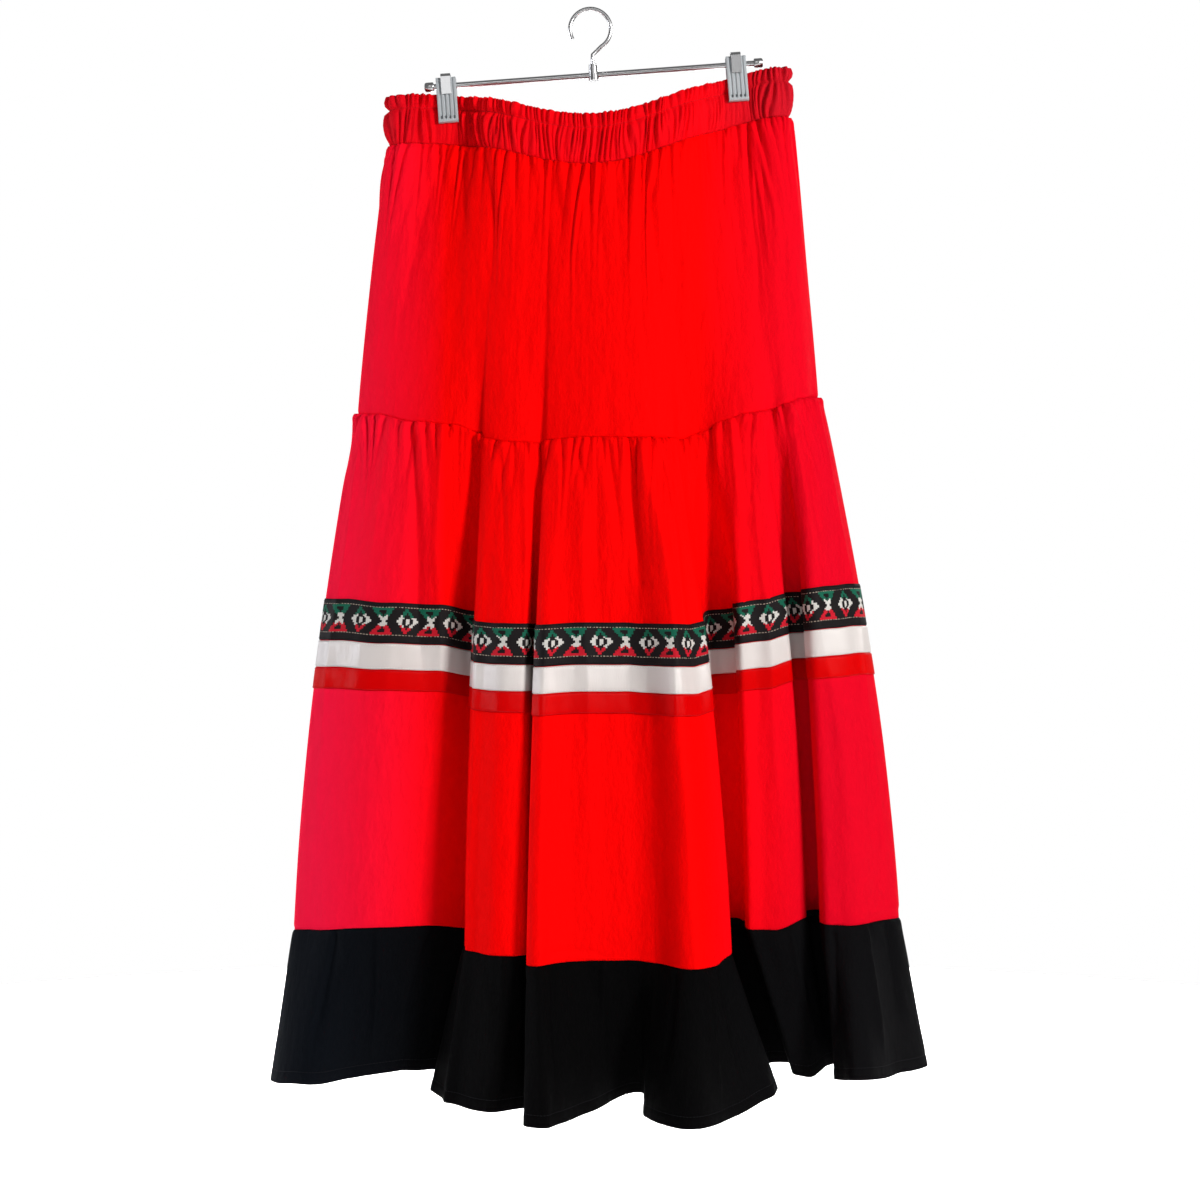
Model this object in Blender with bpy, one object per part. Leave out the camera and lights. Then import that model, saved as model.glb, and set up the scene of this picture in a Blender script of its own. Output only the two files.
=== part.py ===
"""Three-tier dance skirt that hangs by its waistband from a clip hanger.

Metres, +Z up. The front faces -Y and +X is to the viewer's right. The origin is
the point inside the hook where a rail carries the hanger.
"""
import math
from collections import namedtuple

import bmesh
import bpy
from mathutils import Matrix, Vector

MM = 0.001
SEAM_GAP = 0.3 * MM
WAIST_SEAM_GAP = 0.5 * MM

# Cloth
WALL = 1.5 * MM
RIBBON_WALL = 0.9 * MM
COLUMNS_PER_LINE = 3
HEM_BAND_LENGTH = 138 * MM

# Waistband
WAIST_HALF_WIDTH = 184 * MM
WAIST_HALF_DEPTH = 34 * MM
WAIST_WALL = 2.6 * MM
WAIST_GATHERS = 120
WAIST_GATHER_DEPTH = 1.0 * MM
HEADING_HEIGHT = 13 * MM
CASING_HEIGHT = 33 * MM
CASING_BULGE = 2.2 * MM
WAIST_TOP_Z = -67 * MM
WAIST_SLOPE = 0.0738
WAIST_SAG = 36 * MM
WAIST_SAG_CENTRE = 8 * MM
WAIST_SAG_HALF_SPAN = 165 * MM
PINCHED_HALF_DEPTH = 1 * MM
PINCH_SPREAD = 28 * MM
PINCH_FLATTENS = 0.85

# Height lines of the tier seam and the band seam at x = 0, and how they climb to the right
TIER_SEAM_Z, TIER_SEAM_SLOPE = -367.5 * MM, 0.035
BAND_SEAM_Z, BAND_SEAM_SLOPE = -847.5 * MM, 0.0194

# Soft folds under the casing and gathers under the tier seam
UPPER_FOLD_DEPTH, UPPER_FOLD_FADE = 2.2 * MM, 0.45
TIER_GATHER_DEPTH, TIER_GATHER_FADE = 2.6 * MM, 0.3

# Rows down each tier, as fractions of its height. The ribbons lie between the named rows.
UPPER_ROWS = (0, 0.09, 0.22, 0.45, 0.72, 1)
RIBBON_TOP, WOVEN_BOTTOM, WHITE_BOTTOM, RED_BOTTOM = 0.358, 0.439, 0.491, 0.533
MIDDLE_ROWS = (0, 0.06, 0.16, RIBBON_TOP, WOVEN_BOTTOM, WHITE_BOTTOM, RED_BOTTOM, 0.76, 1)
HEM_ROWS = (0, 0.3, 0.65, 1)
RIBBONS = (
    ("woven_ribbon", RIBBON_TOP, WOVEN_BOTTOM),
    ("white_ribbon", WOVEN_BOTTOM, WHITE_BOTTOM),
    ("red_ribbon", WHITE_BOTTOM, RED_BOTTOM),
)

# Each row is a line that runs down the skirt where the cloth turns: its x and y at
# the tier seam, the band seam and the hem, and how far it hangs below the height
# line at the tier seam and at the band seam, all in millimetres. They go round from
# the left side over the front, then back over the rear.
Line = namedtuple("Line", "name seam_x band_x hem_x seam_y band_y hem_y seam_drop band_drop")
FRONT_LINES = (
    Line("left side", -215, -274, -295, -4, -8, -10, 0, 0),
    Line("fold a turn", -196, -253, -262, -24, -34, -66, 3, -3),
    Line("fold a face", -159, -207, -217, -38, -50, -42, 12, -6),
    Line("fold a right", -124, -150, -178, -42, -36, -28, 16, -5),
    Line("fold a tuck", -99, -106, -148, -38, -29, -26, 24, 0),
    Line("fold b edge", -95, -113, -144, -45, -56, -44, 30, 11),
    Line("fold b face", -76, -87, -91, -52, -98, -102, 34, 13),
    Line("fold b right", -56, -61, -62, -51, -98, -88, 35, 14),
    Line("fold b tuck", -43, -45, -43, -46, -78, -78, 36, 15),
    Line("fold c edge", -37, -52, -50, -53, -114, -138, 34, 20),
    Line("fold c face", -8, -14, 0, -60, -104, -90, 33, 19),
    Line("fold c dip", 22, 38, 45, -62, -98, -48, 34, 20),
    Line("fold c second edge", 38, 60, 50, -62, -104, -96, 35, 22),
    Line("fold c crest", 54, 90, 88, -60, -128, -133, 35, 24),
    Line("fold c second face", 66, 111, 130, -57, -108, -92, 36, 25),
    Line("fold c right", 76, 125, 170, -52, -78, -56, 36, 17),
    Line("fold c back", 84, 124, 168, -43, -38, -31, 37, 8),
    Line("recess", 104, 133, 176, -40, -25, -25, 31, 1),
    Line("fold d edge", 121, 139, 182, -46, -31, -29, 22, 3),
    Line("fold d face", 142, 170, 201, -48, -38, -37, 16, 5),
    Line("fold d right", 158, 203, 221, -42, -29, -28, 14, -5),
    Line("fold d tuck", 168, 210, 230, -34, -25, -31, 12, -5),
    Line("fold e edge", 180, 212, 226, -35, -42, -62, 7, -2),
    Line("fold e crest", 196, 237, 238, -25, -54, -106, 2, 0),
    Line("fold e turn", 207, 270, 280, -12, -30, -56, 0, -1),
    Line("right side", 213, 288, 314, -2, -6, -10, 0, 0),
)
BACK_LINES = (
    Line("back right turn", 203, 268, 286, 16, 34, 46, 0, 0),
    Line("back fold 1", 178, 226, 238, 36, 78, 104, 6, 2),
    Line("back dip 1", 152, 190, 199, 40, 50, 52, 14, 2),
    Line("back fold 2", 119, 152, 160, 52, 92, 124, 22, 10),
    Line("back dip 2", 84, 107, 112, 48, 54, 54, 30, 12),
    Line("back fold 3", 47, 63, 70, 58, 100, 130, 34, 18),
    Line("back dip 3", 12, 17, 18, 52, 57, 56, 35, 18),
    Line("back fold 4", -28, -33, -36, 60, 102, 128, 34, 20),
    Line("back dip 4", -70, -82, -86, 50, 55, 54, 31, 12),
    Line("back fold 5", -107, -129, -136, 52, 88, 118, 22, 8),
    Line("back dip 5", -142, -173, -182, 40, 49, 50, 14, 0),
    Line("back fold 6", -174, -215, -229, 33, 68, 92, 6, -2),
    Line("back left turn", -199, -254, -278, 14, 30, 36, 0, 0),
)
LINES = FRONT_LINES + BACK_LINES
RIGHT_SIDE_LINE = len(FRONT_LINES) - 1

# Hanger, measured from its bar. The hanger hangs a little turned, right end up.
HANGER_TURN = math.atan(WAIST_SLOPE)
BAR_DROP = 60 * MM
BAR_RADIUS = 2.6 * MM
BAR_HALF_LENGTH = 158 * MM
KNOB_RADIUS = 4.4 * MM
KNOB_LENGTH = 9 * MM
BOSS_RADIUS = 5 * MM
BOSS_HEIGHT = 15 * MM
HOOK_ROD_RADIUS = 1.9 * MM
HOOK_LOOP_RADIUS = 19 * MM
HOOK_SET_DEPTH = 5 * MM
CLIP_SPOTS = (("left", -137.5 * MM), ("right", 132.5 * MM))
CLIP_WIDTH = 18.6 * MM
CLIP_GROOVES = 4
CLIP_GROOVE_PITCH = 3.9 * MM
CLIP_GROOVE_WIDTH = 1.9 * MM
SPRING_WIDTH = 9 * MM
SPRING_WALL = 0.8 * MM
SPRING_REACH = 7.5 * MM
SPRING_FOOT = -9 * MM
SPRING_SHOULDER = 7.4 * MM
SPRING_ARCH_RISE = 3.2 * MM
SPRING_ARCH_STEPS = 6

# The jaw's side profile: height over the bar, inner face and outer face before the
# mid plane, and groove depth, in millimetres.
JawStation = namedtuple("JawStation", "height inner outer groove")
JAW_STATIONS = (
    JawStation(-35.5, 5.2, 7.2, 0.2),
    JawStation(-33.2, 4.8, 9.2, 0.2),
    JawStation(-30.5, 4.8, 9.0, 0.2),
    JawStation(-29.0, 4.8, 8.4, 1.1),
    JawStation(-10.0, 4.8, 7.0, 1.1),
    JawStation(7.0, 1.8, 6.0, 0.9),
)


def clear_scene():
    for obj in list(bpy.data.objects):
        bpy.data.objects.remove(obj)


def material(name, colour, roughness, metallic=0.0):
    made = bpy.data.materials.new(name)
    made.use_nodes = True
    shader = made.node_tree.nodes["Principled BSDF"]
    shader.inputs["Base Color"].default_value = (*colour, 1)
    shader.inputs["Roughness"].default_value = roughness
    shader.inputs["Metallic"].default_value = metallic
    return made


def add_object(name, mesh_maker, finish):
    mesh = bpy.data.meshes.new(name)
    mesh_maker.to_mesh(mesh)
    mesh_maker.free()
    mesh.materials.append(finish)
    mesh.shade_smooth()
    mesh.set_sharp_from_angle(angle=math.radians(50))
    obj = bpy.data.objects.new(name, mesh)
    bpy.context.collection.objects.link(obj)
    return obj


def mix(a, b, share):
    return a + (b - a) * share


def opening_share(down):
    """How far a fold has opened at this fraction down its tier: quicker near the top."""
    return down + 0.6 * down * (1 - down)


def ring_point(keys, place):
    """A smooth closed curve through the keys, with tangents as long as each span."""
    count = len(keys)
    index = int(place) % count
    share = place - int(place)
    before, start, end, after = (keys[(index + step) % count] for step in (-1, 0, 1, 2))
    span = (end - start).length
    start_way = (end - before).normalized()
    end_way = (after - start).normalized()
    s2, s3 = share * share, share * share * share
    return (
        start * (2 * s3 - 3 * s2 + 1)
        + start_way * span * (s3 - 2 * s2 + share)
        + end * (3 * s2 - 2 * s3)
        + end_way * span * (s3 - s2)
    )


def places():
    return [step / COLUMNS_PER_LINE for step in range(len(LINES) * COLUMNS_PER_LINE)]


def level_ring(level):
    """Plan points of the cloth's outer face, round the skirt, at seam, band or hem."""
    keys = [
        Vector((getattr(line, level + "_x"), getattr(line, level + "_y"))) * MM for line in LINES
    ]
    return [ring_point(keys, place) for place in places()]


def drop_ring(level):
    """How far the ring at seam or band hangs below its height line, column by column."""
    drops = [getattr(line, level + "_drop") * MM for line in LINES]
    ring = []
    for place in places():
        index = int(place)
        share = place - index
        smooth = share * share * (3 - 2 * share)
        ring.append(mix(drops[index], drops[(index + 1) % len(drops)], smooth))
    return ring


def clip_pinch(x):
    """1 where a clip presses front and back together, falling to 0 away from it."""
    nearest = min(abs(x - spot * math.cos(HANGER_TURN) - hanger_shift()) for _, spot in CLIP_SPOTS)
    flat = max(0.0, nearest - CLIP_WIDTH / 2)
    return math.exp(-((flat / PINCH_SPREAD) ** 2))


def hanger_shift():
    return BAR_DROP * math.sin(HANGER_TURN)


def waist_plan(angle, around_y):
    """Inner face of the waistband at an angle round it, from the left side over the front."""
    x = -WAIST_HALF_WIDTH * math.cos(angle)
    open_depth = WAIST_HALF_DEPTH * abs(math.sin(angle))
    depth = mix(open_depth, min(open_depth, PINCHED_HALF_DEPTH), clip_pinch(x))
    return Vector((x, math.copysign(depth, around_y)))


def waist_top_z(x):
    reach = min(abs(x - WAIST_SAG_CENTRE) / WAIST_SAG_HALF_SPAN, 1)
    sag = WAIST_SAG * math.cos(reach * math.pi / 2) ** 2
    return WAIST_TOP_Z + WAIST_SLOPE * x - sag


def outward_normals(points):
    """Plan normals of a closed ring that runs from the left side over the front."""
    normals = []
    for index, point in enumerate(points):
        before = (point - points[index - 1]).normalized()
        after = (points[(index + 1) % len(points)] - point).normalized()
        way = (before + after).normalized()
        normals.append(Vector((way.y, -way.x)))
    return normals


def moved_out(points, distance):
    return [p + n * distance for p, n in zip(points, outward_normals(points))]


def gathered(points, depth):
    """Small waves along a ring: a crest on each line, and shallower where lines are close."""
    normals = outward_normals(points)
    waved = []
    for index, point in enumerate(points):
        near = (points[(index + 1) % len(points)] - points[index - 1]).length
        height = depth * min(1, near / (20 * MM))
        turn = 2 * math.pi * index / COLUMNS_PER_LINE
        waved.append(point + normals[index] * height * math.cos(turn))
    return waved


def upper_rings():
    """Outer rings of the upper tier, from under the casing to the tier seam."""
    seam = level_ring("seam")
    seam_drop = drop_ring("seam")
    half_width = (seam[RIGHT_SIDE_LINE * COLUMNS_PER_LINE].x - seam[0].x) / 2
    middle = seam[0].x + half_width
    waist = []
    for index, point in enumerate(seam):
        across = max(-1, min(1, (point.x - middle) / half_width))
        at_back = index > RIGHT_SIDE_LINE * COLUMNS_PER_LINE
        waist.append(waist_plan(math.acos(-across), 1 if at_back else -1))
    waist = moved_out(waist, WAIST_WALL)
    rings = []
    for down in UPPER_ROWS:
        share = down + 0.3 * down * (1 - down)
        plan = [w.lerp(s, share) for w, s in zip(waist, seam)]
        fade = max(0, 1 - down / UPPER_FOLD_FADE) * min(1, down / UPPER_ROWS[1])
        plan = gathered(plan, UPPER_FOLD_DEPTH * fade)
        ring = []
        for point, start, end, drop in zip(plan, waist, seam, seam_drop):
            top = waist_top_z(start.x) - HEADING_HEIGHT - CASING_HEIGHT - WAIST_SEAM_GAP
            bottom = TIER_SEAM_Z + TIER_SEAM_SLOPE * end.x - drop
            ring.append(Vector((point.x, point.y, mix(top, bottom, down))))
        rings.append(ring)
    return rings


def middle_ring(down):
    """Outer ring of the middle tier at a fraction of its height below the tier seam."""
    seam, band = level_ring("seam"), level_ring("band")
    plan = [s.lerp(b, opening_share(down)) for s, b in zip(seam, band)]
    rise = min(1, down / MIDDLE_ROWS[1])
    fade = max(0, 1 - down / TIER_GATHER_FADE)
    plan = gathered(plan, TIER_GATHER_DEPTH * rise * fade)
    ring = []
    for point, s, b, s_drop, b_drop in zip(plan, seam, band, drop_ring("seam"), drop_ring("band")):
        top = TIER_SEAM_Z + TIER_SEAM_SLOPE * s.x - s_drop - SEAM_GAP
        bottom = BAND_SEAM_Z + BAND_SEAM_SLOPE * b.x - b_drop
        ring.append(Vector((point.x, point.y, mix(top, bottom, down))))
    return ring


def hem_rings():
    """Outer rings of the black band, whose cut length is the same all round."""
    band, hem, drops = level_ring("band"), level_ring("hem"), drop_ring("band")
    rings = []
    for down in HEM_ROWS:
        ring = []
        for start, end, drop in zip(band, hem, drops):
            top = BAND_SEAM_Z + BAND_SEAM_SLOPE * start.x - drop - SEAM_GAP
            fall = math.sqrt(HEM_BAND_LENGTH**2 - (end - start).length_squared)
            point = start.lerp(end, down)
            ring.append(Vector((point.x, point.y, top - fall * down)))
        rings.append(ring)
    return rings


def in_plan(ring, distance):
    """The ring moved level along its plan normals, out where distance is positive."""
    plan = moved_out([point.xy for point in ring], distance)
    return [Vector((p.x, p.y, point.z)) for p, point in zip(plan, ring)]


def skin(sections, closed, outer_count=0):
    """Joins equal loops of points into one closed wall, with caps where it isn't a ring.

    The first outer_count points run down and the rest run up. Both faces are split
    along the same diagonals, so that walls laid on each other keep their gap.
    """
    made = bmesh.new()
    loops = [[made.verts.new(point) for point in section] for section in sections]
    pairs = list(zip(loops, loops[1:] + loops[:1])) if closed else list(zip(loops, loops[1:]))
    for left, right in pairs:
        for step in range(len(left)):
            after = (step + 1) % len(left)
            a, b, c, d = left[step], left[after], right[after], right[step]
            if step < outer_count:
                made.faces.new((a, b, c))
                made.faces.new((a, c, d))
            else:
                made.faces.new((a, b, d))
                made.faces.new((b, c, d))
    if not closed:
        made.faces.new(list(reversed(loops[0])))
        made.faces.new(loops[-1])
    bmesh.ops.recalc_face_normals(made, faces=made.faces)
    return made


def wall_sections(outer_rings, inner_rings, columns):
    """For each column, the loop down the outer face and up the inner face."""
    sections = []
    for column in columns:
        down = [ring[column] for ring in outer_rings]
        up = [ring[column] for ring in reversed(inner_rings)]
        sections.append(down + up)
    return sections


def half_wall(outer_rings, inner_rings, first, last):
    """One panel from side seam to side seam, its ends drawn in by half the seam gap."""
    count = len(outer_rings[0])
    columns = [index % count for index in range(first, last + 1)]
    sections = wall_sections(outer_rings, inner_rings, columns)
    for end, beside in ((0, 1), (-1, -2)):
        way = sections[beside][0] - sections[end][0]
        way.z = 0
        step = way.normalized() * SEAM_GAP / 2
        sections[end] = [point + step for point in sections[end]]
    return skin(sections, False, len(outer_rings))


def add_tier(name, rings, finish):
    inner = [in_plan(ring, -WALL) for ring in rings]
    count = len(rings[0])
    right = RIGHT_SIDE_LINE * COLUMNS_PER_LINE
    add_object(name + "_front", half_wall(rings, inner, 0, right), finish)
    add_object(name + "_back", half_wall(rings, inner, right, count), finish)


def add_ribbon(name, top, bottom, finish):
    """A strip on the middle tier, made from the tier's own rings moved out."""
    trim = SEAM_GAP / 2
    upper, lower = middle_ring(top), middle_ring(bottom)
    edges = []
    for a, b in zip(upper, lower):
        step = (b - a).normalized() * trim
        edges.append((a + step, b - step))
    tops, bottoms = [a for a, _ in edges], [b for _, b in edges]
    outer = [in_plan(ring, SEAM_GAP + RIBBON_WALL) for ring in (tops, bottoms)]
    inner = [in_plan(ring, SEAM_GAP) for ring in (tops, bottoms)]
    sections = wall_sections(outer, inner, range(len(upper)))
    add_object(name, skin(sections, True, len(outer)), finish)


def even_angles(count, samples=2000):
    """Angles round the waist that are equally far apart along its cloth."""
    turns = [2 * math.pi * step / samples for step in range(samples + 1)]
    spots = [waist_spot(turn) for turn in turns]
    lengths = [0.0]
    for a, b in zip(spots, spots[1:]):
        lengths.append(lengths[-1] + (b - a).length)
    angles = []
    step = 0
    for index in range(count):
        wanted = lengths[-1] * index / count
        while lengths[step + 1] < wanted:
            step += 1
        share = (wanted - lengths[step]) / (lengths[step + 1] - lengths[step])
        angles.append(mix(turns[step], turns[step + 1], share))
    return angles


def waist_spot(turn):
    """The plan point at a full-circle turn: the front is the first half."""
    if turn <= math.pi:
        return waist_plan(turn, -1)
    return waist_plan(2 * math.pi - turn, 1)


def add_waistband(finish):
    """One shirred strip: gathers raised on its outer face over a plain inside."""
    inner_plan = [waist_spot(turn) for turn in even_angles(2 * WAIST_GATHERS)]
    whole = HEADING_HEIGHT + CASING_HEIGHT
    belly = HEADING_HEIGHT + CASING_HEIGHT * 0.48
    rows = ((0, 0.5 * MM, 1), (HEADING_HEIGHT, 0, 0.4), (belly, CASING_BULGE, 1), (whole, 0, 0.35))
    sections_rows = []
    for height, bulge, wave in rows:
        ring = []
        normals = outward_normals(inner_plan)
        for index, point in enumerate(inner_plan):
            free = 1 - PINCH_FLATTENS * clip_pinch(point.x)
            crest = 1 if index % 2 else -1
            out = WAIST_WALL + free * (bulge + crest * wave * WAIST_GATHER_DEPTH)
            spot = point + normals[index] * out
            ring.append(Vector((spot.x, spot.y, waist_top_z(spot.x) - height)))
        sections_rows.append(ring)
    inner = [
        [Vector((p.x, p.y, waist_top_z(p.x) - height)) for p in inner_plan]
        for height in (0, whole)
    ]
    sections = wall_sections(sections_rows, inner, range(len(inner_plan)))
    add_object("waistband", skin(sections, True, len(rows)), finish)


def hanger_place(x=0.0):
    """From a spot on the bar to the world: the hanger turns about the rail point."""
    turn = Matrix.Rotation(-HANGER_TURN, 4, "Y")
    return turn @ Matrix.Translation((x, 0, -BAR_DROP))


def turned_rod(profile, sides):
    """A closed round body about X from (x, radius) pairs that start and end at radius 0."""
    made = bmesh.new()
    verts = [made.verts.new((x, 0, radius)) for x, radius in profile]
    edges = [made.edges.new(pair) for pair in zip(verts, verts[1:])]
    bmesh.ops.spin(
        made, geom=verts + edges, axis=(1, 0, 0), cent=(0, 0, 0),
        angle=2 * math.pi, steps=sides, use_merge=True,
    )
    bmesh.ops.remove_doubles(made, verts=made.verts, dist=1e-6)
    bmesh.ops.recalc_face_normals(made, faces=made.faces)
    return made


def add_bar(finish):
    half, knob = BAR_HALF_LENGTH, KNOB_RADIUS
    right_end = (
        (half - KNOB_LENGTH, BAR_RADIUS), (half - KNOB_LENGTH + 1 * MM, knob),
        (half - 1.5 * MM, knob), (half, knob * 0.6), (half, 0),
    )
    left_end = [(-x, radius) for x, radius in reversed(right_end)]
    bar = add_object("hanger_bar", turned_rod(left_end + list(right_end), 12), finish)
    boss = bmesh.new()
    bmesh.ops.create_cone(
        boss, cap_ends=True, segments=12, radius1=BOSS_RADIUS, radius2=BOSS_RADIUS * 0.8,
        depth=BOSS_HEIGHT, matrix=Matrix.Translation((0, 0, BOSS_HEIGHT / 2 - BOSS_RADIUS)),
    )
    boss_object = add_object("boss_shape", boss, finish)
    hole = bmesh.new()
    hole_depth = HOOK_SET_DEPTH + SEAM_GAP
    top = BOSS_HEIGHT - BOSS_RADIUS
    radius = HOOK_ROD_RADIUS + SEAM_GAP
    bmesh.ops.create_cone(
        hole, cap_ends=True, segments=12, radius1=radius, radius2=radius,
        depth=2 * hole_depth, matrix=Matrix.Translation((0, 0, top)),
    )
    hole_object = add_object("hook_hole", hole, finish)
    for cutter in (boss_object, hole_object):
        cutter.hide_render = True
        cutter.display_type = "WIRE"
        cutter.matrix_world = hanger_place()
    bar.matrix_world = hanger_place()
    for operation, cutter in (("UNION", boss_object), ("DIFFERENCE", hole_object)):
        cut = bar.modifiers.new(operation.title(), "BOOLEAN")
        cut.operation = operation
        cut.object = cutter


def hook_path():
    """Centre line of the hook in the hanger's frame, from its set end to its tip."""
    loop_centre = BAR_DROP + HOOK_ROD_RADIUS - HOOK_LOOP_RADIUS
    set_end = BOSS_HEIGHT - BOSS_RADIUS - HOOK_SET_DEPTH
    stem_top = loop_centre - HOOK_LOOP_RADIUS * 1.25
    points = [Vector((0, 0, set_end)), Vector((0, 0, stem_top))]
    first, last, steps = -62, 205, 15
    for step in range(steps + 1):
        turn = math.radians(mix(first, last, step / steps))
        way = Vector((math.cos(turn), 0, math.sin(turn)))
        points.append(Vector((0, 0, loop_centre)) + way * HOOK_LOOP_RADIUS)
    return points


def add_hook(finish):
    points = hook_path()
    curve = bpy.data.curves.new("hanger_hook", "CURVE")
    curve.dimensions = "3D"
    curve.bevel_depth = HOOK_ROD_RADIUS
    curve.bevel_resolution = 2
    curve.use_fill_caps = True
    spline = curve.splines.new("POLY")
    spline.points.add(len(points) - 1)
    for slot, point in zip(spline.points, points):
        slot.co = (*point, 1)
    curve.materials.append(finish)
    hook = bpy.data.objects.new("hanger_hook", curve)
    bpy.context.collection.objects.link(hook)
    hook.matrix_world = hanger_place()


def jaw_loop(station):
    """Plan outline of a jaw at one height, with its grooves in the outer face."""
    inner, outer = -station.inner * MM, -station.outer * MM
    half = CLIP_WIDTH / 2
    loop = [Vector((half, inner)), Vector((-half, inner)), Vector((-half, outer))]
    for groove in range(CLIP_GROOVES):
        middle = (groove - (CLIP_GROOVES - 1) / 2) * CLIP_GROOVE_PITCH
        loop.append(Vector((middle - CLIP_GROOVE_WIDTH / 2, outer)))
        loop.append(Vector((middle, outer + station.groove * MM)))
        loop.append(Vector((middle + CLIP_GROOVE_WIDTH / 2, outer)))
    loop.append(Vector((half, outer)))
    return [Vector((point.x, point.y, station.height * MM)) for point in loop]


def add_clip(side, x, plastic, steel):
    for face, half_turn in (("front", 0), ("back", math.pi)):
        jaw = skin([jaw_loop(station) for station in JAW_STATIONS], False)
        obj = add_object(f"clip_{side}_{face}_jaw", jaw, plastic)
        obj.matrix_world = hanger_place(x) @ Matrix.Rotation(half_turn, 4, "Z")
    add_spring(side, x, steel)


def add_spring(side, x, finish):
    """A bent strip: a leg down each jaw and an arch over their tops."""
    outer_reach = SPRING_REACH + SPRING_WALL
    outer_rise = SPRING_ARCH_RISE + SPRING_WALL
    course = [(-SPRING_REACH, SPRING_FOOT, -outer_reach, SPRING_FOOT)]
    for step in range(SPRING_ARCH_STEPS + 1):
        turn = math.pi * (1 - step / SPRING_ARCH_STEPS)
        across, up = math.cos(turn), math.sin(turn)
        course.append((
            across * SPRING_REACH, SPRING_SHOULDER + up * SPRING_ARCH_RISE,
            across * outer_reach, SPRING_SHOULDER + up * outer_rise,
        ))
    course.append((SPRING_REACH, SPRING_FOOT, outer_reach, SPRING_FOOT))
    half = SPRING_WIDTH / 2
    sections = []
    for inner_y, inner_z, outer_y, outer_z in course:
        sections.append([
            Vector((-half, inner_y, inner_z)), Vector((half, inner_y, inner_z)),
            Vector((half, outer_y, outer_z)), Vector((-half, outer_y, outer_z)),
        ])
    obj = add_object(f"clip_{side}_spring", skin(sections, False), finish)
    obj.matrix_world = hanger_place(x)


def main():
    clear_scene()
    cotton = material("red_cotton", (0.80, 0.01, 0.02), 0.85)
    black = material("black_cotton", (0.012, 0.012, 0.014), 0.9)
    woven = material("black_woven", (0.01, 0.01, 0.01), 0.7)
    white = material("white_satin", (0.85, 0.82, 0.80), 0.35)
    red = material("red_satin", (0.62, 0.0, 0.01), 0.35)
    plastic = material("grey_plastic", (0.52, 0.55, 0.57), 0.45)
    steel = material("steel", (0.6, 0.6, 0.6), 0.3, 1.0)
    add_waistband(cotton)
    add_tier("upper_tier", upper_rings(), cotton)
    add_tier("middle_tier", [middle_ring(down) for down in MIDDLE_ROWS], cotton)
    add_tier("hem_band", hem_rings(), black)
    for (name, top, bottom), finish in zip(RIBBONS, (woven, white, red)):
        add_ribbon(name, top, bottom, finish)
    for side, x in CLIP_SPOTS:
        add_clip(side, x, plastic, steel)
    add_bar(steel)
    add_hook(steel)


main()
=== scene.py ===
"""Looks of the three-tier dance skirt: cloth, ribbons, sewing, hanger, light and camera.

Metres, +Z up. The front faces -Y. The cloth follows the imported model's own rings.
"""
import math
from collections import namedtuple

import bmesh
import bpy
import numpy as np
from mathutils import Matrix, Vector


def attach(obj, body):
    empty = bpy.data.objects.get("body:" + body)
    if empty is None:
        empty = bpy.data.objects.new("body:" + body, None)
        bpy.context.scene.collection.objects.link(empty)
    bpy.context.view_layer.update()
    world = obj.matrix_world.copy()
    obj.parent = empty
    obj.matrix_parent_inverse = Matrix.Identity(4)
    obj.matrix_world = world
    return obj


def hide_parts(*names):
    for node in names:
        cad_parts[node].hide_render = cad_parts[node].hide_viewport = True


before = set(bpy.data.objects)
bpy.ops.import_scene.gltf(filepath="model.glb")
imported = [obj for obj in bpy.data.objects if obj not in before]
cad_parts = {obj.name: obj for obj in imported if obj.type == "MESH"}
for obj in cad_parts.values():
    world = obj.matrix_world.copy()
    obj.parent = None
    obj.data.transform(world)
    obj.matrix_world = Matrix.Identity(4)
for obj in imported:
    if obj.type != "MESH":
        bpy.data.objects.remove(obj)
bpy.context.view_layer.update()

MM = 0.001
TURN = 2 * math.pi

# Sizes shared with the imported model
SEAM_GAP = 0.3 * MM
WAIST_SEAM_GAP = 0.5 * MM
HEM_BAND_LENGTH = 138 * MM
WAIST_HALF_WIDTH = 184 * MM
WAIST_HALF_DEPTH = 34 * MM
WAIST_WALL = 2.6 * MM
CASING_BOTTOM = 46 * MM
WAIST_TOP_Z = -67 * MM
WAIST_SLOPE = 0.0738
WAIST_SAG = 36 * MM
WAIST_SAG_CENTRE = 8 * MM
WAIST_SAG_HALF_SPAN = 165 * MM
PINCHED_HALF_DEPTH = 1 * MM
PINCH_SPREAD = 28 * MM
PINCH_FLATTENS = 0.85
CLIP_EDGE_SPREAD = 5 * MM
SEAM_HEIGHTS = {"seam": (-367.5 * MM, 0.035), "band": (-847.5 * MM, 0.0194)}
HANGER_TURN = math.atan(WAIST_SLOPE)
BAR_DROP = 60 * MM
CLIP_SPOTS = {"left": -137.5 * MM, "right": 132.5 * MM}
CLIP_WIDTH = 18.6 * MM

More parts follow.
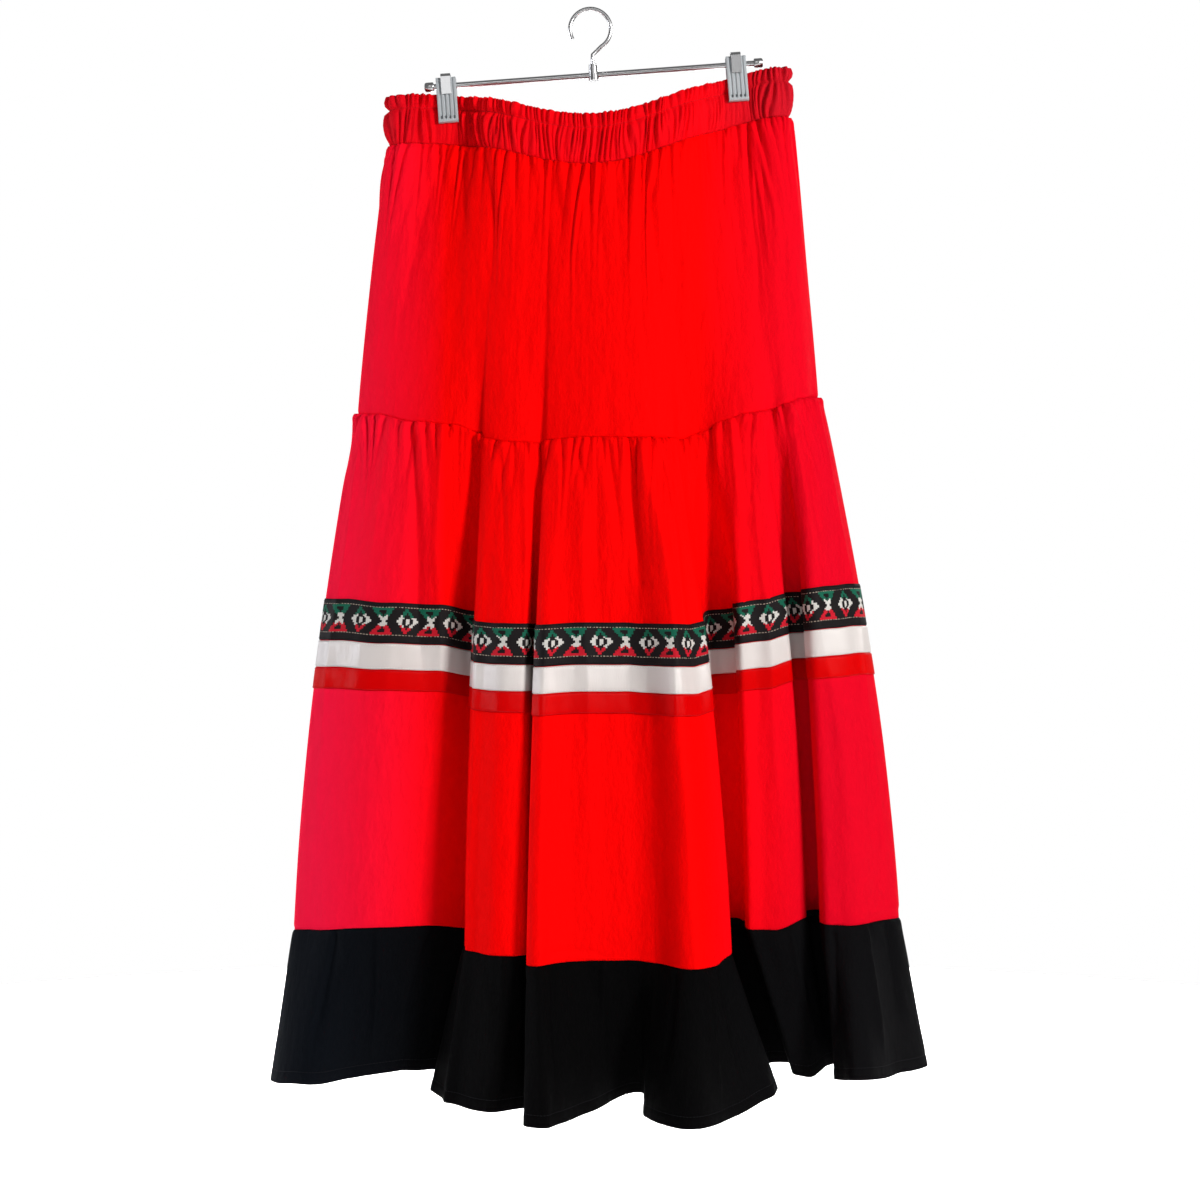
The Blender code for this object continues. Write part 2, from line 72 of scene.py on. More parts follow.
# Lines that run down the skirt where the cloth turns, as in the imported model: x and y at
# the tier seam, the band seam and the hem, and the drops below the height lines, in mm.
Line = namedtuple("Line", "seam_x band_x hem_x seam_y band_y hem_y seam_drop band_drop")
LINES = [Line(*row) for row in (
    (-215, -274, -295, -4, -8, -10, 0, 0),
    (-196, -253, -262, -24, -34, -66, 3, -3),
    (-159, -207, -217, -38, -50, -42, 12, -6),
    (-124, -150, -178, -42, -36, -28, 16, -5),
    (-99, -106, -148, -38, -29, -26, 24, 0),
    (-95, -113, -144, -45, -56, -44, 30, 11),
    (-76, -87, -91, -52, -98, -102, 34, 13),
    (-56, -61, -62, -51, -98, -88, 35, 14),
    (-43, -45, -43, -46, -78, -78, 36, 15),
    (-37, -52, -50, -53, -114, -138, 34, 20),
    (-8, -14, 0, -60, -104, -90, 33, 19),
    (22, 38, 45, -62, -98, -48, 34, 20),
    (38, 60, 50, -62, -104, -96, 35, 22),
    (54, 90, 88, -60, -128, -133, 35, 24),
    (66, 111, 130, -57, -108, -92, 36, 25),
    (76, 125, 170, -52, -78, -56, 36, 17),
    (84, 124, 168, -43, -38, -31, 37, 8),
    (104, 133, 176, -40, -25, -25, 31, 1),
    (121, 139, 182, -46, -31, -29, 22, 3),
    (142, 170, 201, -48, -38, -37, 16, 5),
    (158, 203, 221, -42, -29, -28, 14, -5),
    (168, 210, 230, -34, -25, -31, 12, -5),
    (180, 212, 226, -35, -42, -62, 7, -2),
    (196, 237, 238, -25, -54, -106, 2, 0),
    (207, 270, 280, -12, -30, -56, 0, -1),
    (213, 288, 314, -2, -6, -10, 0, 0),
    (203, 268, 286, 16, 34, 46, 0, 0),
    (178, 226, 238, 36, 78, 104, 6, 2),
    (152, 190, 199, 40, 50, 52, 14, 2),
    (119, 152, 160, 52, 92, 124, 22, 10),
    (84, 107, 112, 48, 54, 54, 30, 12),
    (47, 63, 70, 58, 100, 130, 34, 18),
    (12, 17, 18, 52, 57, 56, 35, 18),
    (-28, -33, -36, 60, 102, 128, 34, 20),
    (-70, -82, -86, 50, 55, 54, 31, 12),
    (-107, -129, -136, 52, 88, 118, 22, 8),
    (-142, -173, -182, 40, 49, 50, 14, 0),
    (-174, -215, -229, 33, 68, 92, 6, -2),
    (-199, -254, -278, 14, 30, 36, 0, 0),
)]
RIGHT_SIDE = 25

# How finely the cloth is drawn
FRONT_COLUMNS, BACK_COLUMNS = 520, 380
UPPER_ROWS, MIDDLE_ROWS, HEM_ROWS, RIBBON_ROWS = 50, 72, 30, 8
WAIST_COLUMNS = 1700
LINE_STEPS = 60
CLOTH_WALL = 1.0 * MM

# How the tiers widen on the way down, and how soon the upper one takes up the seam's folds
UPPER_FLARE, MIDDLE_FLARE = 0.3, 0.6
SEAM_FOLD_FADE = 7
SEAM_FOLD_REACHES = (24, 16)

# Gathers fall from a stitched edge: how many go round, their depth and how far they reach.
# Their widths, heights and reaches differ between two shares.
Gathers = namedtuple("Gathers", "count depth reach seed")
GATHER_WIDTHS, GATHER_HEIGHTS, GATHER_REACHES = (0.5, 1.5), (0.35, 1.3), (0.4, 1.7)
GATHER_LEAN, GATHER_FADING, GATHER_ROUNDING, GATHER_SINKS = 0.5, 1.6, 0.8, 0.35
UPPER_GATHERS = (
    Gathers(168, 2.2 * MM, 12 * MM, 3),
    Gathers(80, 5.6 * MM, 44 * MM, 4),
    Gathers(26, 2.0 * MM, 85 * MM, 9),
)
MIDDLE_GATHERS = (
    Gathers(190, 2.4 * MM, 10 * MM, 5),
    Gathers(86, 5.2 * MM, 36 * MM, 6),
    Gathers(30, 2.6 * MM, 130 * MM, 10),
)
HEM_GATHERS = (
    Gathers(150, 0.7 * MM, 10 * MM, 7),
    Gathers(46, 1.3 * MM, 60 * MM, 8),
)

# Creases. Each runs from one line number to another, between two distances down
# its tier in mm, with a width and a depth in mm. A negative depth is a trough.
Crease = namedtuple("Crease", "line_top line_bottom start end width depth")
UPPER_CREASES = [Crease(*row) for row in (
    (1.3, 2.0, 70, 110, 3, -1.6), (1.9, 2.4, 2, 60, 6, -2.2),
    (2.6, 3.3, 2, 120, 7, -2.4), (3.0, 3.9, 4, 150, 9, 2.2),
    (3.6, 5.1, 0, 175, 7, -3.0), (4.6, 5.9, 2, 90, 8, 2.0),
    (6.6, 7.1, 0, 40, 4, -2.6), (7.6, 8.2, 0, 52, 5, -2.4),
    (8.9, 9.4, 0, 90, 6, -2.2), (10.2, 10.4, 2, 36, 4, -1.8),
    (11.6, 11.8, 0, 46, 5, -2.2), (13.4, 14.6, 0, 190, 8, -3.2),
    (14.0, 14.9, 8, 170, 9, 2.0), (17.0, 17.0, 0, 60, 6, -2.2),
    (18.0, 18.0, 0, 200, 7, -3.0), (18.8, 18.5, 0, 150, 8, 1.8),
    (19.6, 19.3, 2, 220, 9, -1.8), (20.9, 20.3, 0, 260, 6, -2.6),
    (22.6, 22.0, 20, 190, 9, 1.6), (27.6, 27.6, 0, 150, 8, -2.8),
    (29.5, 29.3, 0, 110, 7, -2.6), (31.4, 31.2, 0, 170, 8, -3.0),
    (33.6, 33.5, 0, 90, 6, -2.4), (35.4, 35.2, 0, 160, 8, -2.8),
    (37.0, 37.0, 0, 120, 7, -2.4),
)]
MIDDLE_CREASES = [Crease(*row) for row in (
    (0.7, 0.9, 0, 470, 6, 2.4), (1.4, 1.7, 0, 200, 8, 1.8),
    (2.1, 2.9, 10, 260, 6, -5.5), (2.7, 3.3, 6, 330, 6, 3.0),
    (3.3, 3.4, 0, 90, 4, -3.0), (3.75, 3.75, 0, 470, 9, -6.0),
    (5.9, 6.2, 4, 150, 5, -3.0), (6.4, 6.3, 0, 60, 4, -2.6),
    (7.0, 7.0, 0, 470, 7, 2.2), (9.9, 10.2, 0, 60, 4, -2.8),
    (10.1, 10.4, 30, 480, 9, 1.8), (10.9, 11.1, 2, 120, 4, -3.4),
    (12.0, 11.7, 2, 165, 6, -5.5), (12.4, 13.3, 0, 150, 6, 3.6),
    (13.1, 12.95, 90, 480, 9, 5.0), (13.9, 13.8, 0, 250, 4, 3.0),
    (14.4, 14.3, 10, 120, 4, -2.4), (17.1, 16.8, 0, 140, 6, -3.4),
    (18.5, 18.4, 0, 110, 3, 2.6), (18.9, 19.0, 8, 120, 6, -2.2),
    (19.1, 19.3, 60, 470, 6, 2.6), (20.1, 20.3, 0, 110, 5, -3.0),
    (22.2, 23.3, 0, 470, 8, 4.0), (22.9, 23.0, 0, 150, 5, -2.6),
    (24.2, 24.2, 0, 470, 7, 2.0), (27.4, 27.2, 0, 300, 8, -3.6),
    (28.4, 28.6, 10, 160, 6, 3.0), (29.6, 29.6, 0, 470, 8, 2.6),
    (31.7, 31.5, 0, 190, 7, -4.2), (32.6, 32.7, 0, 120, 5, 2.8),
    (33.3, 33.4, 0, 470, 8, 3.0), (35.6, 35.6, 0, 260, 7, -3.4),
    (36.5, 36.4, 4, 140, 5, 2.6), (37.3, 37.2, 0, 470, 8, 2.6),
)]
HEM_CREASES = [Crease(*row) for row in (
    (1.5, 1.2, 0, 138, 5, -3.6), (2.3, 2.4, 0, 138, 4, 3.6),
    (3.2, 3.0, 0, 120, 4, -3.0), (6.4, 6.3, 0, 138, 4, 3.6),
    (7.3, 7.1, 0, 138, 4, -3.0), (9.6, 9.4, 0, 138, 4, -3.0),
    (10.5, 10.4, 0, 120, 4, 3.6), (12.6, 12.4, 0, 110, 4, -3.0),
    (13.5, 13.7, 0, 138, 4, 4.0), (14.2, 14.4, 0, 138, 4, -3.0),
    (19.4, 19.6, 0, 138, 4, 3.0), (22.5, 22.3, 0, 138, 4, -3.6),
    (23.4, 23.6, 0, 138, 4, 4.0), (24.1, 24.3, 0, 100, 4, -3.0),
    (27.4, 27.6, 0, 138, 5, 3.0), (29.3, 29.4, 0, 138, 5, -3.0),
    (31.6, 31.5, 0, 120, 5, 3.0), (33.3, 33.4, 0, 138, 5, -3.0),
    (35.5, 35.5, 0, 138, 5, 3.0), (37.4, 37.2, 0, 138, 5, -3.0),
)]

# Deep pleats where one fold laps another. Each grows down the middle tier and goes on to
# the hem: line number, width and depth in mm. A negative depth is a slot.
Pleat = namedtuple("Pleat", "line width depth")
PLEATS = [Pleat(*row) for row in (
    (4.2, 8, -9), (5.4, 7, 5), (8.0, 7, -10),
    (9.2, 7, 4), (14.8, 8, 4), (17.1, 11, -24),
    (18.3, 8, 9), (20.9, 8, -15), (22.3, 8, 7),
)]
PLEATS_GROWN = 170 * MM

# How creases lie: the bend of a long one, how it starts and the bow of a short one
CREASE_BEND, CREASE_BEND_EVERY = 1.5 * MM, 31 * MM
CREASE_STARTS_BEFORE, CREASE_FULL_AFTER = 6 * MM, 10 * MM
CREASE_FADES_FROM = 0.55
CROSS_CREASE_BOW = 3 * MM

# Where cloth sinks along a seam or a stitch row: depth and width in mm
Dip = namedtuple("Dip", "depth width")
WAIST_SEAM_DIP = Dip(1.6, 2.4)
TIER_SEAM_DIPS = {"above": Dip(0.7, 1.6), "below": Dip(1.2, 1.8)}
BAND_SEAM_DIPS = {"above": Dip(0.8, 1.8), "below": Dip(1.0, 1.8)}
HEM_STITCH_DIP = Dip(0.6, 1.6)
SIDE_SEAM_DEPTH, SIDE_SEAM_WIDTH = 0.9 * MM, 0.06
MIDDLE_DROP = 480 * MM
HEM_STITCH_HEIGHT = 11 * MM
HEM_PUCKER = Gathers(240, 0.5 * MM, 9 * MM, 17)

# Broad unevenness of each tier's faces, and of the hem's edge, from where down the tier it
# starts to where it is full
Drape = namedtuple("Drape", "depth seed start full")
UPPER_DRAPE = Drape(0.5 * MM, 11, 0, 40 * MM)
MIDDLE_DRAPE = Drape(0.55 * MM, 12, 10 * MM, 80 * MM)
HEM_DRAPE = Drape(0.6 * MM, 13, 5 * MM, 40 * MM)
HEM_EDGE_DRAPE = Drape(0.8 * MM, 14, 90 * MM, HEM_BAND_LENGTH)
DRAPE_WAVES = 26

# The upper tier's relief is calmer under the clips and at the seam below: the share that
# stays, and how far this reaches
CLIP_CALM, CLIP_CALM_REACH = 0.7, 60 * MM
SEAM_CALM, SEAM_CALM_REACH = 0.25, 26 * MM

# The raw top edge behind the cloth above: how far up and how far in, row by row
ALLOWANCE_ROWS = ((6 * MM, 3.4 * MM), (0.5 * MM, 3.0 * MM))

# Short creases that run across a tier: from line to line, how far down, how much the far end
# lies lower, width and depth in mm
CrossCrease = namedtuple("CrossCrease", "line_from line_to down fall width depth")
MIDDLE_CROSS_CREASES = [CrossCrease(*row) for row in (
    (5.3, 6.3, 332, 0, 2.4, -1.2), (5.6, 6.4, 290, 26, 2.6, -1.0),
    (9.2, 10.3, 326, 0, 2.6, -1.3), (9.4, 10.2, 300, 30, 2.6, -1.1),
    (5.2, 6.0, 436, -4, 2.2, -1.1), (9.4, 10.6, 372, 4, 2.6, -0.8),
    (9.3, 10.6, 462, 0, 2.4, -1.0), (10.2, 10.9, 470, 8, 2.2, -0.9),
    (18.9, 19.5, 392, -2, 2.0, -1.5), (18.4, 19.5, 300, -8, 2.6, -0.9),
    (18.4, 19.3, 42, 30, 3.0, -1.8), (18.2, 19.6, 138, 34, 3.0, -1.4),
    (18.3, 19.0, 170, -20, 2.6, -1.0), (12.9, 13.8, 176, 6, 2.4, -1.2),
    (3.1, 3.9, 112, -10, 2.6, -1.0), (1.2, 2.6, 300, 10, 3.0, -0.9),
    (2.0, 3.2, 410, -20, 3.0, -0.8), (22.7, 23.8, 148, 14, 2.6, -1.0),
    (23.4, 24.3, 330, 18, 2.6, -1.0), (28.6, 30.2, 340, 6, 3.0, -1.0),
    (29.0, 29.9, 150, 24, 3.0, -1.2), (32.4, 33.9, 402, -6, 3.0, -1.0),
    (36.3, 37.8, 360, 0, 3.0, -1.0),
)]

# The waistband's course from its inside bottom over its top edge and down outside: height
# below the top edge, distance out from the inside face, and its share of the gathers, in mm
Course = namedtuple("Course", "height out wave")
WAIST_COURSE = [Course(*row) for row in (
    (46.0, 0.2, 0.0), (34.0, 0.2, 0.1), (22.0, 0.2, 0.1),
    (13.5, 0.0, 0.0), (7.0, 0.3, 0.2), (1.6, 0.7, 0.4),
    (0.2, 1.6, 0.7), (0.5, 2.4, 0.9), (2.0, 2.8, 1.0),
    (5.5, 3.4, 1.1), (9.0, 3.1, 0.9), (11.8, 1.7, 0.4),
    (13.0, 0.8, 0.1), (14.2, 1.8, 0.4), (17.0, 3.6, 0.9),
    (21.0, 4.2, 1.0), (26.0, 4.6, 1.0), (31.0, 4.5, 1.0),
    (36.0, 4.1, 1.0), (40.0, 3.3, 0.9), (43.0, 2.4, 0.7),
    (44.8, 1.6, 0.4), (46.0, 1.1, 0.3),
)]
# Shirring: ridges that run the casing's height and others that end half way, as shares of
# the gather depth. Each layer counts by its upper share above and its lower share below.
Shirring = namedtuple("Shirring", "gathers upper lower")
WAIST_SHIRRING = (
    Shirring(Gathers(172, 1.0, 1.0, 21), 1.0, 0.45),
    Shirring(Gathers(147, 0.9, 1.0, 22), 0.25, 0.85),
    Shirring(Gathers(60, 0.6, 1.0, 23), 1.0, 1.0),
)
SHIRRING_TURNS = (24 * MM, 38 * MM)
STITCH_RADIUS = 0.24 * MM
STITCH_RISE = 0.2 * MM
WAIST_GATHER_DEPTH = 4.7 * MM
WAIST_WALL_CLOTH, RIBBON_WALL = 0.6 * MM, 0.5 * MM
CASING_STITCH_ROW = 12
RIBBON_RISE, RIBBON_EDGE_FALL = 1.15, 0.35
RIBBON_INSET = 0.0006

# What each tier is sewn to, and its cloth
Tier = namedtuple("Tier", "name above finish slot")
TIERS = (
    Tier("upper_tier", None, "cotton", "red_cotton"),
    Tier("middle_tier", "upper_tier", "cotton", "red_cotton"),
    Tier("hem_band", "middle_tier", "black", "black_cotton"),
)

# Ribbons on the middle tier, between two shares of its drop
Ribbon = namedtuple("Ribbon", "name top bottom finish slot")
RIBBONS = (
    Ribbon("woven_ribbon", 0.358, 0.439, "woven", "woven_ribbon"),
    Ribbon("white_ribbon", 0.439, 0.491, "white", "white_satin"),
    Ribbon("red_ribbon", 0.491, 0.533, "red", "red_satin"),
)

# Stitch rows: how far off the cloth, from stitch to stitch, and the length of one
Stitch = namedtuple("Stitch", "lift pitch length")
CASING_STITCH = Stitch(0.5 * MM, 2.3 * MM, 1.5 * MM)
RIBBON_STITCH = Stitch(0.1 * MM, 2.6 * MM, 1.8 * MM)
HEM_STITCH = Stitch(0.15 * MM, 3.0 * MM, 2.0 * MM)

# Clip jaws from their lower end up: height, inner and outer face and groove depth, in mm
JawStation = namedtuple("JawStation", "height inner outer groove")
JAW_STATIONS = [JawStation(*row) for row in (
    (-35.5, 5.2, 7.0, 0.0), (-35.2, 5.0, 8.2, 0.0),
    (-34.4, 4.8, 9.0, 0.0), (-33.2, 4.8, 9.2, 0.0),
    (-32.4, 4.8, 9.2, 0.1), (-32.0, 4.8, 9.1, 0.8),
    (-31.2, 4.8, 9.0, 3.3), (-30.4, 4.8, 8.9, 3.4),
    (-29.6, 4.8, 8.6, 3.0), (-29.0, 4.8, 8.4, 1.1),
    (-24.0, 4.8, 8.0, 1.0), (-10.0, 4.8, 7.0, 1.0),
    (5.0, 2.1, 6.1, 0.9), (6.6, 1.8, 5.8, 0.8), (7.0, 1.8, 5.4, 0.7),
)]
CLIP_GROOVES = 4
CLIP_GROOVE_PITCH = 3.9 * MM
CLIP_GROOVE_WIDTH = 1.9 * MM
JAW_ROUND = 0.8 * MM
JAW_STEPS = 96

# The bar's knob: distance from the bar's end and radius, in mm
BAR_HALF = 158 * MM
KNOB_PROFILE = ((9.0, 2.6), (8.6, 4.1), (8.0, 4.4), (1.8, 4.4), (0.6, 3.608), (0.0, 1.98), (0.0, 0.0))
BOSS_LOWER_RADIUS, BOSS_UPPER_RADIUS = 5 * MM, 4 * MM
BOSS_HEIGHT, BOSS_MIDDLE = 15 * MM, 2.5 * MM
HOOK_CENTRE, HOOK_RADIUS, HOOK_ROD = 42.9 * MM, 19 * MM, 1.9 * MM
HOOK_FROM, HOOK_TO = -62, 205
HOOK_SHANK = ((0, 5), (0, 10), (0, 15), (0.4, 19))
SHARP_ANGLE = math.radians(35)

# Cottons: colours in the middle and towards both sides, height of the weave and gloss
# The colours towards both sides are painted light and shade, of daylight from beside the skirt
Cotton = namedtuple("Cotton", "name middle left right weave_depth specular")
COTTONS = {
    "cotton": Cotton(
        "red_cotton", (0.92, 0.0, 0.0001), (0.95, 0.007, 0.048), (0.70, 0.001, 0.014), 0.12, 0.03,
    ),
    "shirred": Cotton(
        "shirred_cotton", (0.84, 0.0004, 0.005), (0.48, 0.004, 0.018), (0.44, 0.008, 0.022), 0.12, 0.05,
    ),
    "black": Cotton(
        "black_cotton", (0.0007, 0.0006, 0.0008), (0.0030, 0.0044, 0.0072),
        (0.0032, 0.0031, 0.0038), 0.3, 0.045,
    ),
}
WEAVE_PITCH = 0.9 * MM

# Unevenness in a finish: steps for each metre along and down, and how many finer layers
Noise = namedtuple("Noise", "along down detail")
SLUB, WRINKLE, RUMPLE = Noise(1500, 260, 2.0), Noise(150, 40, 4.0), Noise(46, 22, 3.0)
FLOAT_THREAD, SAG = Noise(1400, 120, 2.0), Noise(24, 12, 2.0)
FUZZ, WEAR = Noise(900, 500, 2.0), Noise(700, 50, 2.0)
# Painted light and shade towards both sides: where it starts, in metres left and right of the middle, and
# over how far it grows full
LEFT_PAINTED_LIGHT_FROM, RIGHT_PAINTED_LIGHT_FROM, PAINTED_LIGHT_OVER = 0.13, 0.10, 0.12
SATIN_RIB_PITCH = 0.8 * MM
THREAD_COLOURS = {
    "red_thread": (0.55, 0.003, 0.008),
    "white_thread": (0.80, 0.78, 0.77),
    "black_thread": (0.008, 0.008, 0.010),
}

# The woven ribbon: threads along and down, motifs counted in threads, lines in metres
THREAD_ALONG, THREAD_DOWN = 1.7 * MM, 1.15 * MM
MOTIF_PITCH, MOTIF_MIDDLE, MOTIF_REACH = 13.0, 14.5, 11.0
GREEN_ABOVE, RED_BELOW = 11.0, 18.0
DIAMOND_SIZE, DIAMOND_LINE, CORE_SIZE = 5.4, 1.35, 1.6
HOURGLASS_OUTER, HOURGLASS_INNER, HOURGLASS_SLOPE = 1.1, 1.9, 0.5
CAP_FROM, CAP_HALF_WIDTH = 8.5, 4.6
LINE_SPOTS, LINE_HALF_WIDTH, DASH_PITCH = (4.4 * MM, 30.2 * MM), 0.34 * MM, 3.0 * MM
WOVEN_BLACK = (0.0042, 0.0022, 0.0030, 1)
WOVEN_WHITE = (0.72, 0.70, 0.66, 1)
WOVEN_GREEN = (0.004, 0.13, 0.075, 1)
WOVEN_RED = (0.62, 0.006, 0.022, 1)
WOVEN_LINE = (0.42, 0.34, 0.27, 1)

# The room in front of the skirt is darker than the white wall behind it
ROOM_TONE = 0.17
WALL_FROM, WALL_FADE = 0.80, 0.12
Window = namedtuple("Window", "name spot aim size power colour")
SKIRT_MIDDLE = (0, 0, -0.55)
WINDOWS = (
    Window("right_window", (1.75, -2.0, 0.4), SKIRT_MIDDLE, (0.6, 1.0), 70, (1.0, 0.99, 0.97)),
    Window("left_window", (-2.6, 0.2, -0.1), SKIRT_MIDDLE, (0.8, 1.2), 42, (0.92, 0.94, 1.0)),
    Window("front_window", (-0.3, -2.7, 0.7), SKIRT_MIDDLE, (1.0, 0.8), 4, (1, 1, 1)),
    Window("back_window", (1.9, 1.9, 0.4), SKIRT_MIDDLE, (0.6, 1.0), 22, (1.0, 0.99, 0.97)),
)
FLOOR_WASH = Window("floor_wash", (0, 2.1, 0.9), (0, 2.1, -1.3), (3.0, 1.0), 118, (1, 1, 1))
FLOOR_WASH_SPREAD = math.radians(80)
FLOOR_Z, FLOOR_RADIUS = -1.32, 2.6
CAMERA_SPOT, CAMERA_LENS = (0.0102, -2.0, -0.548), 64.5


# Cloth shapes


def mix(a, b, share):
    return a + (b - a) * share


def unit(vectors):
    return vectors / np.maximum(np.linalg.norm(vectors, axis=-1, keepdims=True), 1e-9)


def travelled(points):
    """Distance from the first point to each one, along the first axis."""
    steps = np.linalg.norm(np.diff(points, axis=0), axis=-1)
    return np.concatenate([np.zeros_like(steps[:1]), np.cumsum(steps, axis=0)])


def smooth_ramp(values, low, high):
    share = np.clip((values - low) / (high - low), 0, 1)
    return share * share * (3 - 2 * share)


def level_keys(level):
    return np.array([[getattr(line, level + "_x"), getattr(line, level + "_y")] for line in LINES]) * MM


def ring_at(keys, lines):
    """Smooth closed curve through the keys, at these line numbers."""
    index = np.floor(lines).astype(int)
    share = (lines - index)[:, None]
    before, start, end, after = (keys[(index + step) % len(keys)] for step in (-1, 0, 1, 2))
    span = np.linalg.norm(end - start, axis=1, keepdims=True)
    s2, s3 = share**2, share**3
    return (
        start * (2 * s3 - 3 * s2 + 1)
        + unit(end - before) * span * (s3 - 2 * s2 + share)
        + end * (3 * s2 - 2 * s3)
        + unit(after - start) * span * (s3 - s2)
    )


def column_lines():
    """Line numbers of the columns, evenly spread along the cloth from side seam to side seam."""
    dense = np.linspace(0, len(LINES), len(LINES) * LINE_STEPS + 1)
    run = sum(travelled(ring_at(level_keys(level), dense)) / 3 for level in ("seam", "band", "hem"))
    right = run[RIGHT_SIDE * LINE_STEPS]
    front = np.linspace(0, right, FRONT_COLUMNS + 1)[:-1]
    back = np.linspace(right, run[-1], BACK_COLUMNS + 1)[:-1]
    return np.interp(np.concatenate([front, back]), run, dense)


COLUMN_LINES = column_lines()


def drops_at(level):
    drops = np.array([getattr(line, level + "_drop") for line in LINES]) * MM
    index = np.floor(COLUMN_LINES).astype(int)
    share = smooth_ramp(COLUMN_LINES, index, index + 1)
    return mix(drops[index], drops[(index + 1) % len(drops)], share)


def ring_normals(plan):
    """Outward plan normals of closed rings, evened out over a few columns."""
    before = unit(plan - np.roll(plan, 1, axis=-2))
    after = unit(np.roll(plan, -1, axis=-2) - plan)
    way = unit(sum(np.roll(before + after, step, axis=-2) for step in (-2, -1, 0, 1, 2)))
    return np.stack([way[..., 1], -way[..., 0]], axis=-1)


def run_along(form):
    """Distance along each ring from the left side seam, in metres and as a share of the ring."""
    plan = form[..., :2]
    steps = np.linalg.norm(np.roll(plan, -1, axis=-2) - plan, axis=-1)
    run = np.cumsum(steps, axis=-1) - steps
    return run, run / steps.sum(axis=-1, keepdims=True)


def clip_pinch(x, spread=PINCH_SPREAD):
    """1 under a clip, fading to 0 beside it."""
    shift = BAR_DROP * math.sin(HANGER_TURN)
    spots = [spot * math.cos(HANGER_TURN) + shift for spot in CLIP_SPOTS.values()]
    nearest = np.minimum(*[np.abs(x - spot) for spot in spots])
    return np.exp(-((np.maximum(0, nearest - CLIP_WIDTH / 2) / spread) ** 2))


def waist_plan(angle, side):
    """Inner face of the waistband; side is -1 in front and 1 at the back."""
    x = -WAIST_HALF_WIDTH * np.cos(angle)
    open_depth = WAIST_HALF_DEPTH * np.abs(np.sin(angle))
    depth = mix(open_depth, np.minimum(open_depth, PINCHED_HALF_DEPTH), clip_pinch(x))
    return np.stack([x, side * depth], axis=-1)


def waist_top_z(x):
    reach = np.minimum(np.abs(x - WAIST_SAG_CENTRE) / WAIST_SAG_HALF_SPAN, 1)
    return WAIST_TOP_Z + WAIST_SLOPE * x - WAIST_SAG * np.cos(reach * math.pi / 2) ** 2


def row_shares(count, crowding=0.6):
    """Shares down a tier, closer together at both ends."""
    even = np.linspace(0, 1, count)
    return even - crowding * np.sin(TURN * even) / TURN


def with_height(plan, z):
    return np.concatenate([plan, z[..., None]], axis=-1)


def evened(values, reach):
    """Values round a closed ring, averaged over this many columns each way."""
    steps = range(-reach, reach + 1)
    return sum(np.roll(values, step) for step in steps) / len(steps)


def seam_ring(level):
    """A seam's plan, and its height at each column."""
    ring = ring_at(level_keys(level), COLUMN_LINES)
    height, slope = SEAM_HEIGHTS[level]
    return ring, height + slope * ring[:, 0] - drops_at(level)


def upper_form(down):
    """The folds start low on this tier, so its upper part keeps an even curve."""
    seam, bottom = seam_ring("seam")
    half_width = (seam[FRONT_COLUMNS, 0] - seam[0, 0]) / 2
    across = np.clip((seam[:, 0] - seam[0, 0] - half_width) / half_width, -1, 1)
    side = np.where(COLUMN_LINES > RIGHT_SIDE, 1, -1)
    waist = waist_plan(np.arccos(-across), side)
    waist = waist + ring_normals(waist) * WAIST_WALL
    share = (down + UPPER_FLARE * down * (1 - down))[:, None, None]
    top = waist_top_z(waist[:, 0]) - CASING_BOTTOM - WAIST_SEAM_GAP
    plan = mix(waist, seam, share)
    even = seam[:, 1]
    for reach in SEAM_FOLD_REACHES:
        even = evened(even, reach)
    plan[..., 1] += (seam[:, 1] - even) * (share[..., 0] ** SEAM_FOLD_FADE - share[..., 0])
    return with_height(plan, mix(top, bottom, down[:, None]))


def middle_form(down):
    (seam, top), (band, bottom) = seam_ring("seam"), seam_ring("band")
    share = (down + MIDDLE_FLARE * down * (1 - down))[:, None, None]
    return with_height(mix(seam, band, share), mix(top - SEAM_GAP, bottom, down[:, None]))


def hem_form(down):
    band, top = seam_ring("band")
    hem = ring_at(level_keys("hem"), COLUMN_LINES)
    fall = np.sqrt(HEM_BAND_LENGTH**2 - ((hem - band) ** 2).sum(axis=-1))
    return with_height(mix(band, hem, down[:, None, None]), top - SEAM_GAP - fall * down[:, None])


# Unevenness of cloth


def gather_ridges(around, gathers, down):
    """Rounded ridges with sharp troughs from a stitched edge, uneven in width and length."""
    chance = np.random.default_rng(gathers.seed)
    widths = chance.uniform(*GATHER_WIDTHS, gathers.count)
    edges = np.concatenate([[0], np.cumsum(widths)]) / widths.sum()
    heights = chance.uniform(*GATHER_HEIGHTS, gathers.count)
    reaches = gathers.reach * chance.uniform(*GATHER_REACHES, gathers.count)
    leans = chance.normal(0, GATHER_LEAN, gathers.count) / gathers.count
    sway = np.interp(around, edges[:-1], leans)
    spot = (around + sway * np.clip(down / gathers.reach, 0, 2)) % 1
    index = np.clip(np.searchsorted(edges, spot, side="right") - 1, 0, gathers.count - 1)
    share = (spot - edges[index]) / (edges[index + 1] - edges[index])
    fade = np.exp(-((down / reaches[index]) ** GATHER_FADING))
    ridge = np.abs(np.sin(math.pi * np.clip(share, 0, 1))) ** GATHER_ROUNDING
    return gathers.depth * heights[index] * fade * (ridge - GATHER_SINKS * np.minimum(fade, 1))


def line_run(run, lines):
    """The run at a line number, or at one for each row."""
    table = np.append(COLUMN_LINES, len(LINES))
    found = []
    for row, line in zip(run, np.broadcast_to(lines, len(run))):
        whole = np.append(row, 2 * row[-1] - row[-2])
        found.append(np.interp(line, table, whole))
    return np.array(found)[:, None]


